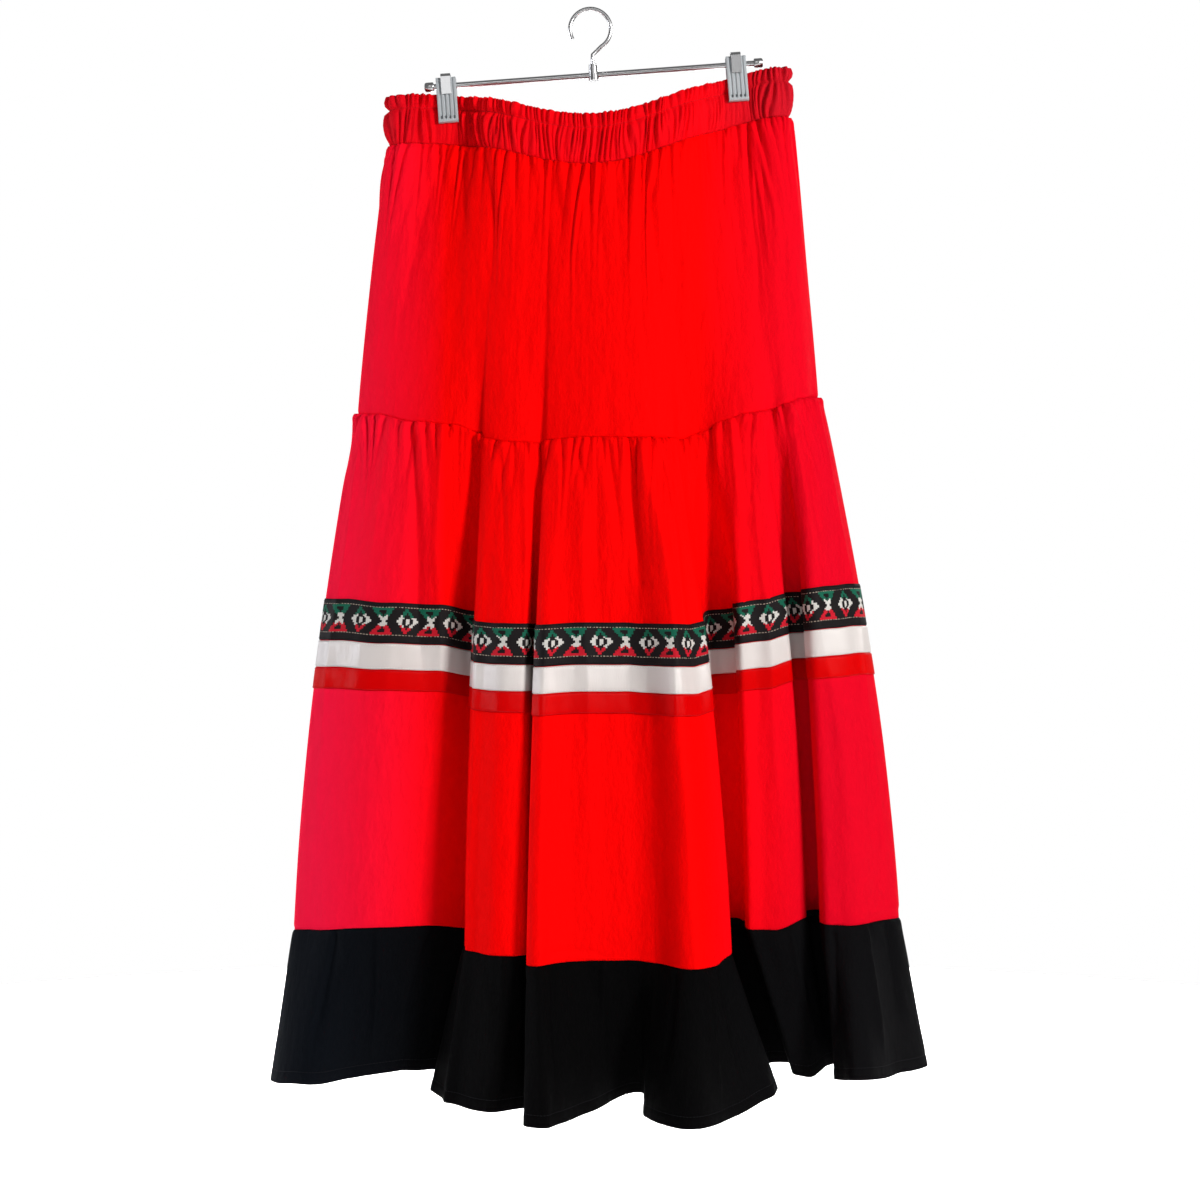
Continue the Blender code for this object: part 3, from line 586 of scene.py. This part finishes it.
def crease_relief(creases, run, down):
    """Soft troughs and ridges down the cloth, strongest near their start."""
    relief = np.zeros_like(run)
    for crease in creases:
        start, end = crease.start * MM, crease.end * MM
        middle_down = down.mean(axis=1)
        share = np.clip((middle_down - start) / (end - start), 0, 1)
        centre = line_run(run, mix(crease.line_top, crease.line_bottom, share))
        bend = CREASE_BEND * np.sin(middle_down / CREASE_BEND_EVERY + 5 * crease.line_top)[:, None]
        width = crease.width * MM * (0.7 + 0.6 * share)[:, None]
        across = (run - centre - bend) / width
        along = smooth_ramp(down, start - CREASE_STARTS_BEFORE, start + CREASE_FULL_AFTER)
        along = along * (1 - smooth_ramp(down, mix(start, end, CREASE_FADES_FROM), end))
        relief += crease.depth * MM * along * np.exp(-(np.abs(across) ** 1.3))
    return relief


def pleat_relief(run, grown):
    relief = np.zeros_like(run)
    for pleat in PLEATS:
        off = (run - line_run(run, pleat.line)) / (pleat.width * MM)
        relief += pleat.depth * MM * grown * np.exp(-(off**2))
    return relief


def cross_relief(creases, run, down):
    """Short creases across the cloth, a little bowed."""
    relief = np.zeros_like(run)
    for crease in creases:
        from_run = line_run(run, crease.line_from)
        to_run = line_run(run, crease.line_to)
        share = (run - from_run) / (to_run - from_run)
        within = smooth_ramp(share, 0, 0.3) * (1 - smooth_ramp(share, 0.7, 1))
        bow = CROSS_CREASE_BOW * np.sin(share * math.pi + crease.down)
        off = (down - (crease.down + crease.fall * share) * MM - bow) / (crease.width * MM)
        relief += crease.depth * MM * within * (np.exp(-(off**2)) - 0.5 * np.exp(-((off - 1.7) ** 2)))
    return relief


def drape_ripple(around, down, drape):
    """Broad shallow unevenness, so that no face of a fold is flat."""
    chance = np.random.default_rng(drape.seed)
    ripple = np.zeros(np.broadcast(around, down).shape)
    for _ in range(DRAPE_WAVES):
        waves = chance.integers(6, 60)
        tilt = chance.normal(0, 9)
        phase = chance.uniform(0, TURN)
        swell = 0.5 + 0.5 * np.sin(down * chance.uniform(8, 40) + chance.uniform(0, TURN))
        ripple += np.sin(TURN * waves * around + tilt * down + phase) * swell / math.sqrt(waves)
    return drape.depth * ripple * 0.8


def sunk(distance, dip):
    """Relief at these distances from a seam or a stitch row."""
    return -dip.depth * MM * np.exp(-((distance / (dip.width * MM)) ** 2))


def side_seam_dip():
    """Columns at the two side seams sink in a little."""
    off = np.abs(COLUMN_LINES[None, :] - np.array([[0], [RIGHT_SIDE], [len(LINES)]])).min(axis=0)
    return -SIDE_SEAM_DEPTH * np.exp(-((off / SIDE_SEAM_WIDTH) ** 2))


def moved_out(form, relief):
    """The form's points moved along its plan normals."""
    shaped = form.copy()
    shaped[..., :2] += ring_normals(form[..., :2]) * relief[..., None]
    return shaped


def with_allowance(surface, form):
    """The raw top edge turned in and up behind the cloth above, as in a sewn seam."""
    normals = ring_normals(form[:1, :, :2])
    turned = []
    for rise, sink in ALLOWANCE_ROWS:
        row = form[:1].copy()
        row[..., :2] -= normals * sink
        row[..., 2] += rise
        turned.append(row)
    return np.concatenate([*turned, surface])


def cloth_relief(run, around, down, gathers, creases, drape):
    relief = sum(gather_ridges(around, layer, down) for layer in gathers)
    relief += crease_relief(creases, run, down)
    return relief + drape_ripple(around, down, drape) * smooth_ramp(down, drape.start, drape.full)


def upper_surface():
    form = upper_form(row_shares(UPPER_ROWS, 0.75))
    down = travelled(form)
    relief = cloth_relief(*run_along(form), down, UPPER_GATHERS, UPPER_CREASES, UPPER_DRAPE)
    near_clip = clip_pinch(form[..., 0]) * (1 - smooth_ramp(down, 0, CLIP_CALM_REACH))
    relief *= mix(1, CLIP_CALM, near_clip)
    to_end = down[-1] - down
    relief += sunk(down, WAIST_SEAM_DIP)
    relief *= mix(SEAM_CALM, 1, smooth_ramp(to_end, 0, SEAM_CALM_REACH))
    relief += sunk(to_end, TIER_SEAM_DIPS["above"]) + side_seam_dip()
    return with_allowance(moved_out(form, relief), form)


def middle_relief(form, down):
    run, around = run_along(form)
    relief = cloth_relief(run, around, down, MIDDLE_GATHERS, MIDDLE_CREASES, MIDDLE_DRAPE)
    relief += cross_relief(MIDDLE_CROSS_CREASES, run, down)
    relief += pleat_relief(run, smooth_ramp(down, 0, PLEATS_GROWN))
    relief += sunk(down, TIER_SEAM_DIPS["below"])
    to_end = np.maximum(MIDDLE_DROP - down, 0)
    return relief + sunk(to_end, BAND_SEAM_DIPS["above"]) + side_seam_dip()


def middle_surface(shares, lift=0.0):
    """The middle tier's face at these shares, or a face lifted off it for a ribbon."""
    form = middle_form(shares)
    length = travelled(middle_form(np.linspace(0, 1, 24)))[-1]
    down = shares[:, None] * length
    return moved_out(form, middle_relief(form, down) + lift)


def middle_cloth():
    shares = row_shares(MIDDLE_ROWS, 0.75)
    return with_allowance(middle_surface(shares), middle_form(shares))


def hem_surface():
    form = hem_form(row_shares(HEM_ROWS, 0.5))
    down = travelled(form)
    run, around = run_along(form)
    to_stitch = HEM_BAND_LENGTH - down - HEM_STITCH_HEIGHT
    relief = cloth_relief(run, around, down, HEM_GATHERS, HEM_CREASES, HEM_DRAPE)
    relief += pleat_relief(run, 1.0)
    relief += sunk(down, BAND_SEAM_DIPS["below"]) + sunk(to_stitch, HEM_STITCH_DIP)
    relief += gather_ridges(around, HEM_PUCKER, np.abs(to_stitch))
    shaped = moved_out(form, relief + side_seam_dip())
    wobble = drape_ripple(around[-1:], np.zeros((1, 1)), HEM_EDGE_DRAPE)
    shaped[..., 2] += wobble * smooth_ramp(down, HEM_EDGE_DRAPE.start, HEM_EDGE_DRAPE.full)
    return with_allowance(shaped, form)


def waist_angles(count, samples=6000):
    """Full-circle turns that are equally far apart along the waist."""
    turns = np.linspace(0, TURN, samples + 1)
    in_front = turns <= math.pi
    spots = waist_plan(np.where(in_front, turns, TURN - turns), np.where(in_front, -1, 1))
    run = travelled(spots)
    return np.interp(np.arange(count) / count * run[-1], run, turns)


def waist_gathers(around, height):
    low = smooth_ramp(height, *SHIRRING_TURNS)
    flat = np.zeros_like(around)
    layers = WAIST_SHIRRING
    return sum(gather_ridges(around, one.gathers, flat) * mix(one.upper, one.lower, low) for one in layers)


def waist_surface():
    turns = waist_angles(WAIST_COLUMNS)
    side = np.where(turns <= math.pi, -1, 1)
    inner = waist_plan(np.where(turns <= math.pi, turns, TURN - turns), side)
    normals = ring_normals(inner)
    around = (np.arange(WAIST_COLUMNS) / WAIST_COLUMNS)[None, :]
    free = 1 - PINCH_FLATTENS * clip_pinch(inner[:, 0], CLIP_EDGE_SPREAD)
    ridges = WAIST_SHIRRING[0].gathers.count
    rows = []
    for course in WAIST_COURSE:
        height = course.height * MM
        slant = 0.5 * np.sin(course.height / 14 + 9 * np.sin(3 * TURN * around)) / ridges
        wave = waist_gathers((around + slant) % 1, height)[0]
        wave = (wave - 0.45) * WAIST_GATHER_DEPTH * course.wave
        out = course.out * MM * mix(0.75, 1, free) + wave * free
        spot = inner + normals * out[:, None]
        ruffle = 0.7 * MM * wave / WAIST_GATHER_DEPTH * np.exp(-height / (3 * MM))
        scallop = -0.5 * MM * wave / WAIST_GATHER_DEPTH * smooth_ramp(height, 42 * MM, 46 * MM)
        z = waist_top_z(spot[:, 0]) - height + (ruffle + scallop) * free
        rows.append(np.concatenate([spot, z[:, None]], axis=1))
    return np.array(rows)


# Meshes


def new_object(name, data):
    obj = bpy.data.objects.new(name, data)
    bpy.context.scene.collection.objects.link(obj)
    return obj


def new_mesh(name, made):
    mesh = bpy.data.meshes.new(name)
    made.to_mesh(mesh)
    made.free()
    return mesh


def new_piece(name, data):
    obj = new_object(name, data)
    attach(obj, "root")
    return obj


def round_curve(name, radius, resolution, finish):
    curve = bpy.data.curves.new(name, "CURVE")
    curve.dimensions = "3D"
    curve.bevel_depth = radius
    curve.bevel_resolution = resolution
    curve.use_fill_caps = True
    curve.materials.append(finish)
    return curve


def grid_object(name, points, finish, wall=CLOTH_WALL):
    """A sheet through a grid of points, rows down and columns along, with a thickness."""
    rows, columns = points.shape[:2]
    made = bmesh.new()
    made.loops.layers.uv.new("cloth")
    bmesh.ops.create_grid(made, x_segments=columns - 1, y_segments=rows - 1, size=0.5)
    mesh = new_mesh(name, made)
    mesh.vertices.foreach_set("co", points[::-1].reshape(-1).astype(np.float32))
    along = travelled(points.swapaxes(0, 1)).mean(axis=1)
    fall = travelled(points).mean(axis=1)
    flat = np.stack(np.broadcast_arrays(along[None, :], -fall[:, None]), axis=-1)[::-1].reshape(-1, 2)
    corner = np.empty(len(mesh.loops), dtype=np.int32)
    mesh.loops.foreach_get("vertex_index", corner)
    mesh.uv_layers[0].data.foreach_set("uv", flat[corner].reshape(-1).astype(np.float32))
    mesh.shade_smooth()
    mesh.materials.append(finish)
    obj = new_piece(name, mesh)
    thick = obj.modifiers.new("wall", "SOLIDIFY")
    thick.thickness = wall
    thick.offset = -1
    thick.use_even_offset = False
    return obj


def panel(surface, half):
    """The columns of the front or the back panel."""
    if half == "front":
        return surface[:, : FRONT_COLUMNS + 1]
    return np.concatenate([surface[:, FRONT_COLUMNS:], surface[:, :1]], axis=1)


def closed(surface):
    return np.concatenate([surface, surface[:, :1]], axis=1)


def point_along(path, run, spots):
    return np.stack([np.interp(spots, run, path[:, axis]) for axis in range(path.shape[1])], axis=1)


def stitches_object(name, rows, finish):
    """Rows of stitches, each stitch a short thread that rises from the cloth and dips back."""
    thread = round_curve(name, STITCH_RADIUS, 0, finish)
    for path, outward, pitch, length in rows:
        run = travelled(path)
        starts = np.arange(0, run[-1] - length, pitch)
        lift = np.zeros((len(starts), 3))
        lift[:, :2] = point_along(outward, run, starts) * STITCH_RISE
        points = [point_along(path, run, starts + length * share) for share in (0, 0.5, 1)]
        points[1] += lift
        for stitch in zip(*points):
            spline = thread.splines.new("POLY")
            spline.points.add(2)
            for slot, spot, radius in zip(spline.points, stitch, (0.6, 1, 0.6)):
                slot.co = (*spot, 1)
                slot.radius = radius
    return new_piece(name, thread)


# Hanger


def hanger_place(x=0.0):
    return Matrix.Rotation(-HANGER_TURN, 4, "Y") @ Matrix.Translation((x, 0, -BAR_DROP))


def mesh_object(name, made, place, finish):
    bmesh.ops.transform(made, matrix=place, verts=made.verts)
    bmesh.ops.recalc_face_normals(made, faces=made.faces)
    mesh = new_mesh(name, made)
    mesh.materials.append(finish)
    mesh.shade_smooth()
    mesh.set_sharp_from_angle(angle=SHARP_ANGLE)
    return new_piece(name, mesh)


def jaw_outline(station):
    """Plan loop of a jaw: plain inside, grooved outside, with rounded corners."""
    half = CLIP_WIDTH / 2
    x = np.linspace(-half, half, JAW_STEPS)
    groove_at = (np.arange(CLIP_GROOVES) - (CLIP_GROOVES - 1) / 2) * CLIP_GROOVE_PITCH
    off = np.abs(x[:, None] - groove_at[None, :]).min(axis=1)
    hollow = np.cos(np.clip(off / CLIP_GROOVE_WIDTH, 0, 0.5) * math.pi)
    depth = station.groove * MM * np.clip(hollow * 1.5, 0, 1)
    to_end = np.minimum(x + half, half - x)
    corner = JAW_ROUND * (1 - np.sqrt(1 - (1 - np.clip(to_end / JAW_ROUND, 0, 1)) ** 2))
    outer = -(station.outer * MM - depth - corner)
    inner = np.full(2, -station.inner * MM)
    loop_x = np.concatenate([x, [half, -half], x[:1]])
    loop_y = np.concatenate([outer, inner, outer[:1]])
    return np.stack([loop_x, loop_y, np.full(len(loop_x), station.height * MM)], axis=1)


def add_jaw(name, place, finish):
    points = np.array([jaw_outline(station) for station in JAW_STATIONS])
    rows, columns = points.shape[:2]
    made = bmesh.new()
    bmesh.ops.create_grid(made, x_segments=columns - 1, y_segments=rows - 1, size=0.5)
    made.verts.ensure_lookup_table()
    for vert, spot in zip(made.verts, points.reshape(-1, 3)):
        vert.co = spot
    bmesh.ops.remove_doubles(made, verts=made.verts, dist=1e-6)
    rims = [edge for edge in made.edges if edge.is_boundary]
    bmesh.ops.holes_fill(made, edges=rims, sides=0)
    return mesh_object(name, made, place, finish)


def add_bar(finish):
    made = bmesh.new()
    right = [(BAR_HALF - from_end * MM, radius * MM) for from_end, radius in KNOB_PROFILE]
    profile = [(-x, size) for x, size in reversed(right)] + right
    verts = [made.verts.new((x, 0, size)) for x, size in profile]
    edges = [made.edges.new(pair) for pair in zip(verts, verts[1:])]
    bmesh.ops.spin(
        made, geom=verts + edges, axis=(1, 0, 0), cent=(0, 0, 0),
        angle=TURN, steps=40, use_merge=True,
    )
    bmesh.ops.remove_doubles(made, verts=made.verts, dist=1e-6)
    bmesh.ops.create_cone(
        made, cap_ends=True, segments=40, radius1=BOSS_LOWER_RADIUS, radius2=BOSS_UPPER_RADIUS,
        depth=BOSS_HEIGHT, matrix=Matrix.Translation((0, 0, BOSS_MIDDLE)),
    )
    return mesh_object("bar_with_boss", made, hanger_place(), finish)


def add_hook(finish):
    points = [Vector((x * MM, 0, z * MM)) for x, z in HOOK_SHANK]
    for turn in np.radians(np.linspace(HOOK_FROM, HOOK_TO, 60)):
        z = HOOK_CENTRE + math.sin(turn) * HOOK_RADIUS
        points.append(Vector((math.cos(turn) * HOOK_RADIUS, 0, z)))
    curve = round_curve("bent_hook", HOOK_ROD, 6, finish)
    spline = curve.splines.new("POLY")
    spline.points.add(len(points) - 1)
    place = hanger_place()
    for slot, point in zip(spline.points, points):
        slot.co = (*(place @ point), 1)
    return new_piece("bent_hook", curve)


# Materials


def add_node(tree, kind, inputs, output=0, **settings):
    """A node with constants or other nodes' values on its inputs."""
    made = tree.nodes.new(kind)
    for name, value in settings.items():
        setattr(made, name, value)
    for name, value in inputs.items():
        if isinstance(value, Value):
            tree.links.new(value.socket, made.inputs[name])
        else:
            made.inputs[name].default_value = value
    return Value(tree, made.outputs[output])


def math_node(kind, swapped=False):
    """A method that puts one math node on its values."""

    def apply(value, *others):
        values = (*others, value) if swapped else (value, *others)
        return add_node(value.tree, "ShaderNodeMath", dict(enumerate(values)), operation=kind)

    return apply


class Value:
    """A node's output, with plain arithmetic."""

    def __init__(self, tree, socket):
        self.tree, self.socket = tree, socket

    __add__, __radd__ = math_node("ADD"), math_node("ADD", swapped=True)
    __mul__, __rmul__ = math_node("MULTIPLY"), math_node("MULTIPLY", swapped=True)
    __sub__, __truediv__ = math_node("SUBTRACT"), math_node("DIVIDE")
    __mod__, __abs__ = math_node("FLOORED_MODULO"), math_node("ABSOLUTE")
    floor, sine = math_node("FLOOR"), math_node("SINE")
    above, below = math_node("GREATER_THAN"), math_node("LESS_THAN")
    least, most = math_node("MINIMUM"), math_node("MAXIMUM")


def plain_material(name, colour, roughness, metallic=0.0, specular=0.5):
    made = bpy.data.materials.new(name)
    made.use_nodes = True
    shader = made.node_tree.nodes["Principled BSDF"]
    shader.inputs["Base Color"].default_value = (*colour, 1)
    shader.inputs["Roughness"].default_value = roughness
    shader.inputs["Metallic"].default_value = metallic
    shader.inputs["Specular IOR Level"].default_value = specular
    return made


def cloth_axes(tree):
    """Metres along and down the cloth."""
    uv = add_node(tree, "ShaderNodeTexCoord", {}, "UV")
    return tuple(add_node(tree, "ShaderNodeSeparateXYZ", {0: uv}, axis) for axis in ("X", "Y"))


def noise_at(tree, along, down, noise):
    spot = add_node(tree, "ShaderNodeCombineXYZ", {"X": along * noise.along, "Y": down * noise.down})
    inputs = {"Vector": spot, "Scale": 1.0, "Detail": noise.detail, "Roughness": 0.55}
    return add_node(tree, "ShaderNodeTexNoise", inputs)


def blend_colours(tree, share, first, second):
    """Sockets 0, 6 and 7 are the share and the two colours of a Mix node."""
    inputs = {0: share, 6: first, 7: second}
    return add_node(tree, "ShaderNodeMix", inputs, 2, data_type="RGBA")


def link_shader(tree, name, value):
    tree.links.new(value.socket, tree.nodes["Principled BSDF"].inputs[name])


def link_height(tree, height, distance):
    inputs = {"Height": height, "Distance": distance, "Strength": 1.0}
    link_shader(tree, "Normal", add_node(tree, "ShaderNodeBump", inputs, "Normal"))


def cotton_material(cotton):
    """Plain weave, with a little painted light and shade towards both sides, of daylight from beside it.
    """
    made = plain_material(cotton.name, cotton.middle, 0.75, 0.0, cotton.specular)
    tree = made.node_tree
    along, down = cloth_axes(tree)
    weave = (along * (TURN / WEAVE_PITCH)).sine() * (down * (TURN / WEAVE_PITCH)).sine()
    slub = noise_at(tree, along, down, SLUB)
    wrinkle = noise_at(tree, along, down, WRINKLE)
    rumple = noise_at(tree, along, down, RUMPLE)
    height = slub * 0.8 + wrinkle * 3.4 + rumple * 7.0 + weave * cotton.weave_depth
    link_height(tree, height, 0.35 * MM)
    spot = add_node(tree, "ShaderNodeTexCoord", {}, "Object")
    across = add_node(tree, "ShaderNodeSeparateXYZ", {0: spot}, "X")
    # Shares towards each side that take the side colours, which are painted light and shade
    left_painted_light_share = ((across * -1.0 - LEFT_PAINTED_LIGHT_FROM) / PAINTED_LIGHT_OVER).most(0).least(1)
    right_painted_light_share = ((across - RIGHT_PAINTED_LIGHT_FROM) / PAINTED_LIGHT_OVER).most(0).least(1)
    tone = blend_colours(tree, left_painted_light_share, (*cotton.middle, 1), (*cotton.left, 1))
    tone = blend_colours(tree, right_painted_light_share, tone, (*cotton.right, 1))
    # The slub is the yarn's own uneven tone; the wrinkle term darkens the wrinkles' troughs and lightens
    # their crests, which is painted shade and highlight
    yarn_tone_and_wrinkle_shade = 0.88 + 0.12 * slub + 0.10 * wrinkle
    colour_with_painted_light = add_node(tree, "ShaderNodeHueSaturation", {"Value": yarn_tone_and_wrinkle_shade, "Color": tone})
    link_shader(tree, "Base Color", colour_with_painted_light)
    return made


def satin_material(name, colour, roughness, specular):
    made = plain_material(name, colour, roughness, 0.0, specular)
    tree = made.node_tree
    along, down = cloth_axes(tree)
    rib = (along * (TURN / SATIN_RIB_PITCH)).sine()
    float_thread = noise_at(tree, along, down, FLOAT_THREAD)
    sag = noise_at(tree, along, down, SAG)
    link_height(tree, rib * 0.1 + float_thread * 0.3 + sag * 10.0, 0.4 * MM)
    return made


def woven_material():
    """Black band with stepped motifs in three colours between two dashed lines."""
    made = plain_material("woven_ribbon", WOVEN_BLACK[:3], 0.72, 0.0, 0.2)
    tree = made.node_tree
    along, fall = cloth_axes(tree)
    down = fall * -1.0
    step_along = (along / THREAD_ALONG).floor()
    step_down = (down / THREAD_DOWN).floor()
    row_shift = ((step_down * 12.9).sine() * 0.7 + 0.5).floor()
    cell = (step_along / MOTIF_PITCH).floor()
    cell_x = abs(step_along + row_shift * 0.5 - (cell + 0.5) * MOTIF_PITCH + 0.5)
    cell_y = abs(step_down - MOTIF_MIDDLE)
    odd = cell % 2.0
    diamond = abs(cell_x * 1.15 + cell_y * 0.62 - DIAMOND_SIZE).below(DIAMOND_LINE)
    core = (cell_x * 1.2 + cell_y * 0.5).below(CORE_SIZE)
    outer = cell_x.below(cell_y * HOURGLASS_SLOPE + HOURGLASS_OUTER)
    hourglass = outer * cell_x.above(cell_y * HOURGLASS_SLOPE - HOURGLASS_INNER)
    cap = cell_y.above(CAP_FROM) * cell_x.below(CAP_HALF_WIDTH)
    motif = mix(diamond.most(core), hourglass.most(cap), odd) * cell_y.below(MOTIF_REACH)
    jag = ((step_along * 4.7).sine() * 0.8 + 0.5).floor()
    green_zone = (step_down + jag).below(GREEN_ABOVE)
    red_zone = (step_down + jag).above(RED_BELOW)
    rib = (down * (TURN / THREAD_DOWN)).sine() * 0.5 + 0.5
    float_noise = noise_at(tree, along, down, FUZZ)
    thread_tone = 0.55 + rib * 0.35 + float_noise * 0.3
    colour = blend_colours(tree, green_zone, WOVEN_WHITE, WOVEN_GREEN)
    colour = blend_colours(tree, red_zone, colour, WOVEN_RED)
    colour = add_node(tree, "ShaderNodeHueSaturation", {"Value": thread_tone, "Color": colour})
    colour = blend_colours(tree, motif, WOVEN_BLACK, colour)
    dash = ((along / DASH_PITCH) % 1.0).below(0.62)
    upper_line, lower_line = (abs(down - spot).below(LINE_HALF_WIDTH) for spot in LINE_SPOTS)
    line = upper_line + lower_line
    pale = dash * line * noise_at(tree, along, down, WEAR).above(0.42)
    colour = blend_colours(tree, pale, colour, WOVEN_LINE)
    link_shader(tree, "Base Color", colour)
    link_height(tree, motif * (0.6 + rib * 0.5) + pale * 0.6 + rib * 0.12, 0.45 * MM)
    return made


# Building the pieces


def row_for_stitches(surface, row, stitch):
    """A closed stitch row on a row of points of a surface."""
    outward = ring_normals(surface[row][:, :2])
    path = surface[row].copy()
    path[:, :2] += outward * stitch.lift
    outward = np.concatenate([outward, outward[:1]])
    return closed(path[None])[0], outward, stitch.pitch, stitch.length


def stand_for(obj, node):
    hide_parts(node)


def add_cloth(name, node, points, finish, wall=CLOTH_WALL):
    obj = grid_object(name, points, finish, wall)
    stand_for(obj, node)


def build_waistband(finishes):
    waist = waist_surface()
    add_cloth(
        "waistband_shirred", "waistband", closed(waist), finishes["shirred"],
        WAIST_WALL_CLOTH,
    )
    return waist


def build_tiers(finishes):
    surfaces = {"upper_tier": upper_surface(), "middle_tier": middle_cloth(), "hem_band": hem_surface()}
    for tier in TIERS:
        for half in ("front", "back"):
            node = f"{tier.name}_{half}"
            points = panel(surfaces[tier.name], half)
            add_cloth(
                node + "_cloth", node, points, finishes[tier.finish],
            )
    return surfaces


def build_ribbons(finishes):
    made = {}
    across = np.linspace(-1, 1, RIBBON_ROWS)
    lift = (RIBBON_RISE - RIBBON_EDGE_FALL * across**4)[:, None] * MM
    for ribbon in RIBBONS:
        shares = mix(ribbon.top + RIBBON_INSET, ribbon.bottom - RIBBON_INSET, row_shares(RIBBON_ROWS, 0.7))
        surface = middle_surface(shares, lift)
        add_cloth(
            ribbon.name + "_cloth", ribbon.name, closed(surface), finishes[ribbon.finish],
            RIBBON_WALL,
        )
        made[ribbon.name] = surface
    return made


def build_sewing(waist, hem, ribbons, finishes):
    casing = [row_for_stitches(waist, row, CASING_STITCH) for row in (CASING_STITCH_ROW, len(waist) - 1)]
    edges = {
        name: [row_for_stitches(surface, row, RIBBON_STITCH) for row in (1, -2)]
        for name, surface in ribbons.items()
    }
    down = travelled(hem).mean(axis=1)
    hem_row = int(np.argmin(np.abs(down[-1] - down - HEM_STITCH_HEIGHT)))
    hemming = [row_for_stitches(hem, hem_row, HEM_STITCH)]
    threads = (
        ("red_thread", casing + edges["red_ribbon"], "red_cotton"),
        ("white_thread", edges["white_ribbon"], "white_satin"),
        ("black_thread", hemming + edges["woven_ribbon"], "black_cotton"),
    )
    for name, rows, slot in threads:
        thread = stitches_object(name, rows, finishes[name])


def build_hanger(finishes):
    for side, x in CLIP_SPOTS.items():
        for face, half_turn in (("front", 0), ("back", math.pi)):
            place = hanger_place(x) @ Matrix.Rotation(half_turn, 4, "Z")
            jaw = add_jaw(f"clip_{side}_{face}_face", place, finishes["plastic"])
            stand_for(jaw, f"clip_{side}_{face}_jaw")
        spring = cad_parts[f"clip_{side}_spring"]
        spring.data.materials.clear()
        spring.data.materials.append(finishes["steel"])
    stand_for(add_bar(finishes["steel"]), "hanger_bar")
    stand_for(add_hook(finishes["steel"]), "hanger_hook")


def make_finishes():
    finishes = {name: cotton_material(cotton) for name, cotton in COTTONS.items()}
    finishes["woven"] = woven_material()
    finishes["white"] = satin_material("white_satin", (0.66, 0.61, 0.59), 0.30, 0.6)
    finishes["red"] = satin_material("red_satin", (0.62, 0.0, 0.0005), 0.32, 0.04)
    finishes["plastic"] = plain_material("grey_plastic", (0.40, 0.43, 0.45), 0.42)
    finishes["steel"] = plain_material("steel", (0.62, 0.62, 0.63), 0.25, 1.0)
    for name, colour in THREAD_COLOURS.items():
        finishes[name] = plain_material(name, colour, 0.7, 0.0, 0.2)
    return finishes


# Light and camera


def add_window(window):
    light = bpy.data.lights.new(window.name, "AREA")
    light.shape = "RECTANGLE"
    light.size, light.size_y = window.size
    light.energy = window.power
    light.color = window.colour
    obj = new_object(window.name, light)
    obj.location = window.spot
    obj.rotation_euler = (Vector(window.aim) - Vector(window.spot)).to_track_quat("-Z", "Y").to_euler()
    return light


def add_room():
    """A white wall behind the skirt, a dimmer room in front of it, and windows."""
    world = bpy.data.worlds.new("studio")
    bpy.context.scene.world = world
    world.use_nodes = True
    tree = world.node_tree
    way = add_node(tree, "ShaderNodeTexCoord", {}, "Generated")
    behind = add_node(tree, "ShaderNodeSeparateXYZ", {0: way}, "Y")
    lit = ((behind - WALL_FROM) / WALL_FADE).most(0).least(1)
    tone = blend_colours(tree, lit, (ROOM_TONE,) * 3 + (1,), (1, 1, 1, 1))
    tree.links.new(tone.socket, tree.nodes["Background"].inputs["Color"])
    for window in WINDOWS:
        add_window(window)
    wash = add_window(FLOOR_WASH)
    wash.spread = FLOOR_WASH_SPREAD


def add_floor():
    made = bmesh.new()
    bmesh.ops.create_circle(made, cap_ends=True, segments=96, radius=FLOOR_RADIUS)
    mesh = new_mesh("floor", made)
    mesh.materials.append(plain_material("pale_floor", (0.94, 0.94, 0.94), 0.9, 0.0, 0.1))
    floor = new_object("floor", mesh)
    floor.location = (0, 0, FLOOR_Z)


def add_camera():
    camera = bpy.data.cameras.new("camera")
    camera.sensor_width = 36
    camera.lens = CAMERA_LENS
    obj = new_object("camera", camera)
    obj.location = CAMERA_SPOT
    obj.rotation_euler = (math.radians(90), 0, 0)
    bpy.context.scene.camera = obj
    bpy.context.scene.view_settings.view_transform = "Standard"


def main():
    finishes = make_finishes()
    waist = build_waistband(finishes)
    surfaces = build_tiers(finishes)
    ribbons = build_ribbons(finishes)
    build_hanger(finishes)
    build_sewing(waist, surfaces["hem_band"], ribbons, finishes)
    add_room()
    add_floor()
    add_camera()


main()
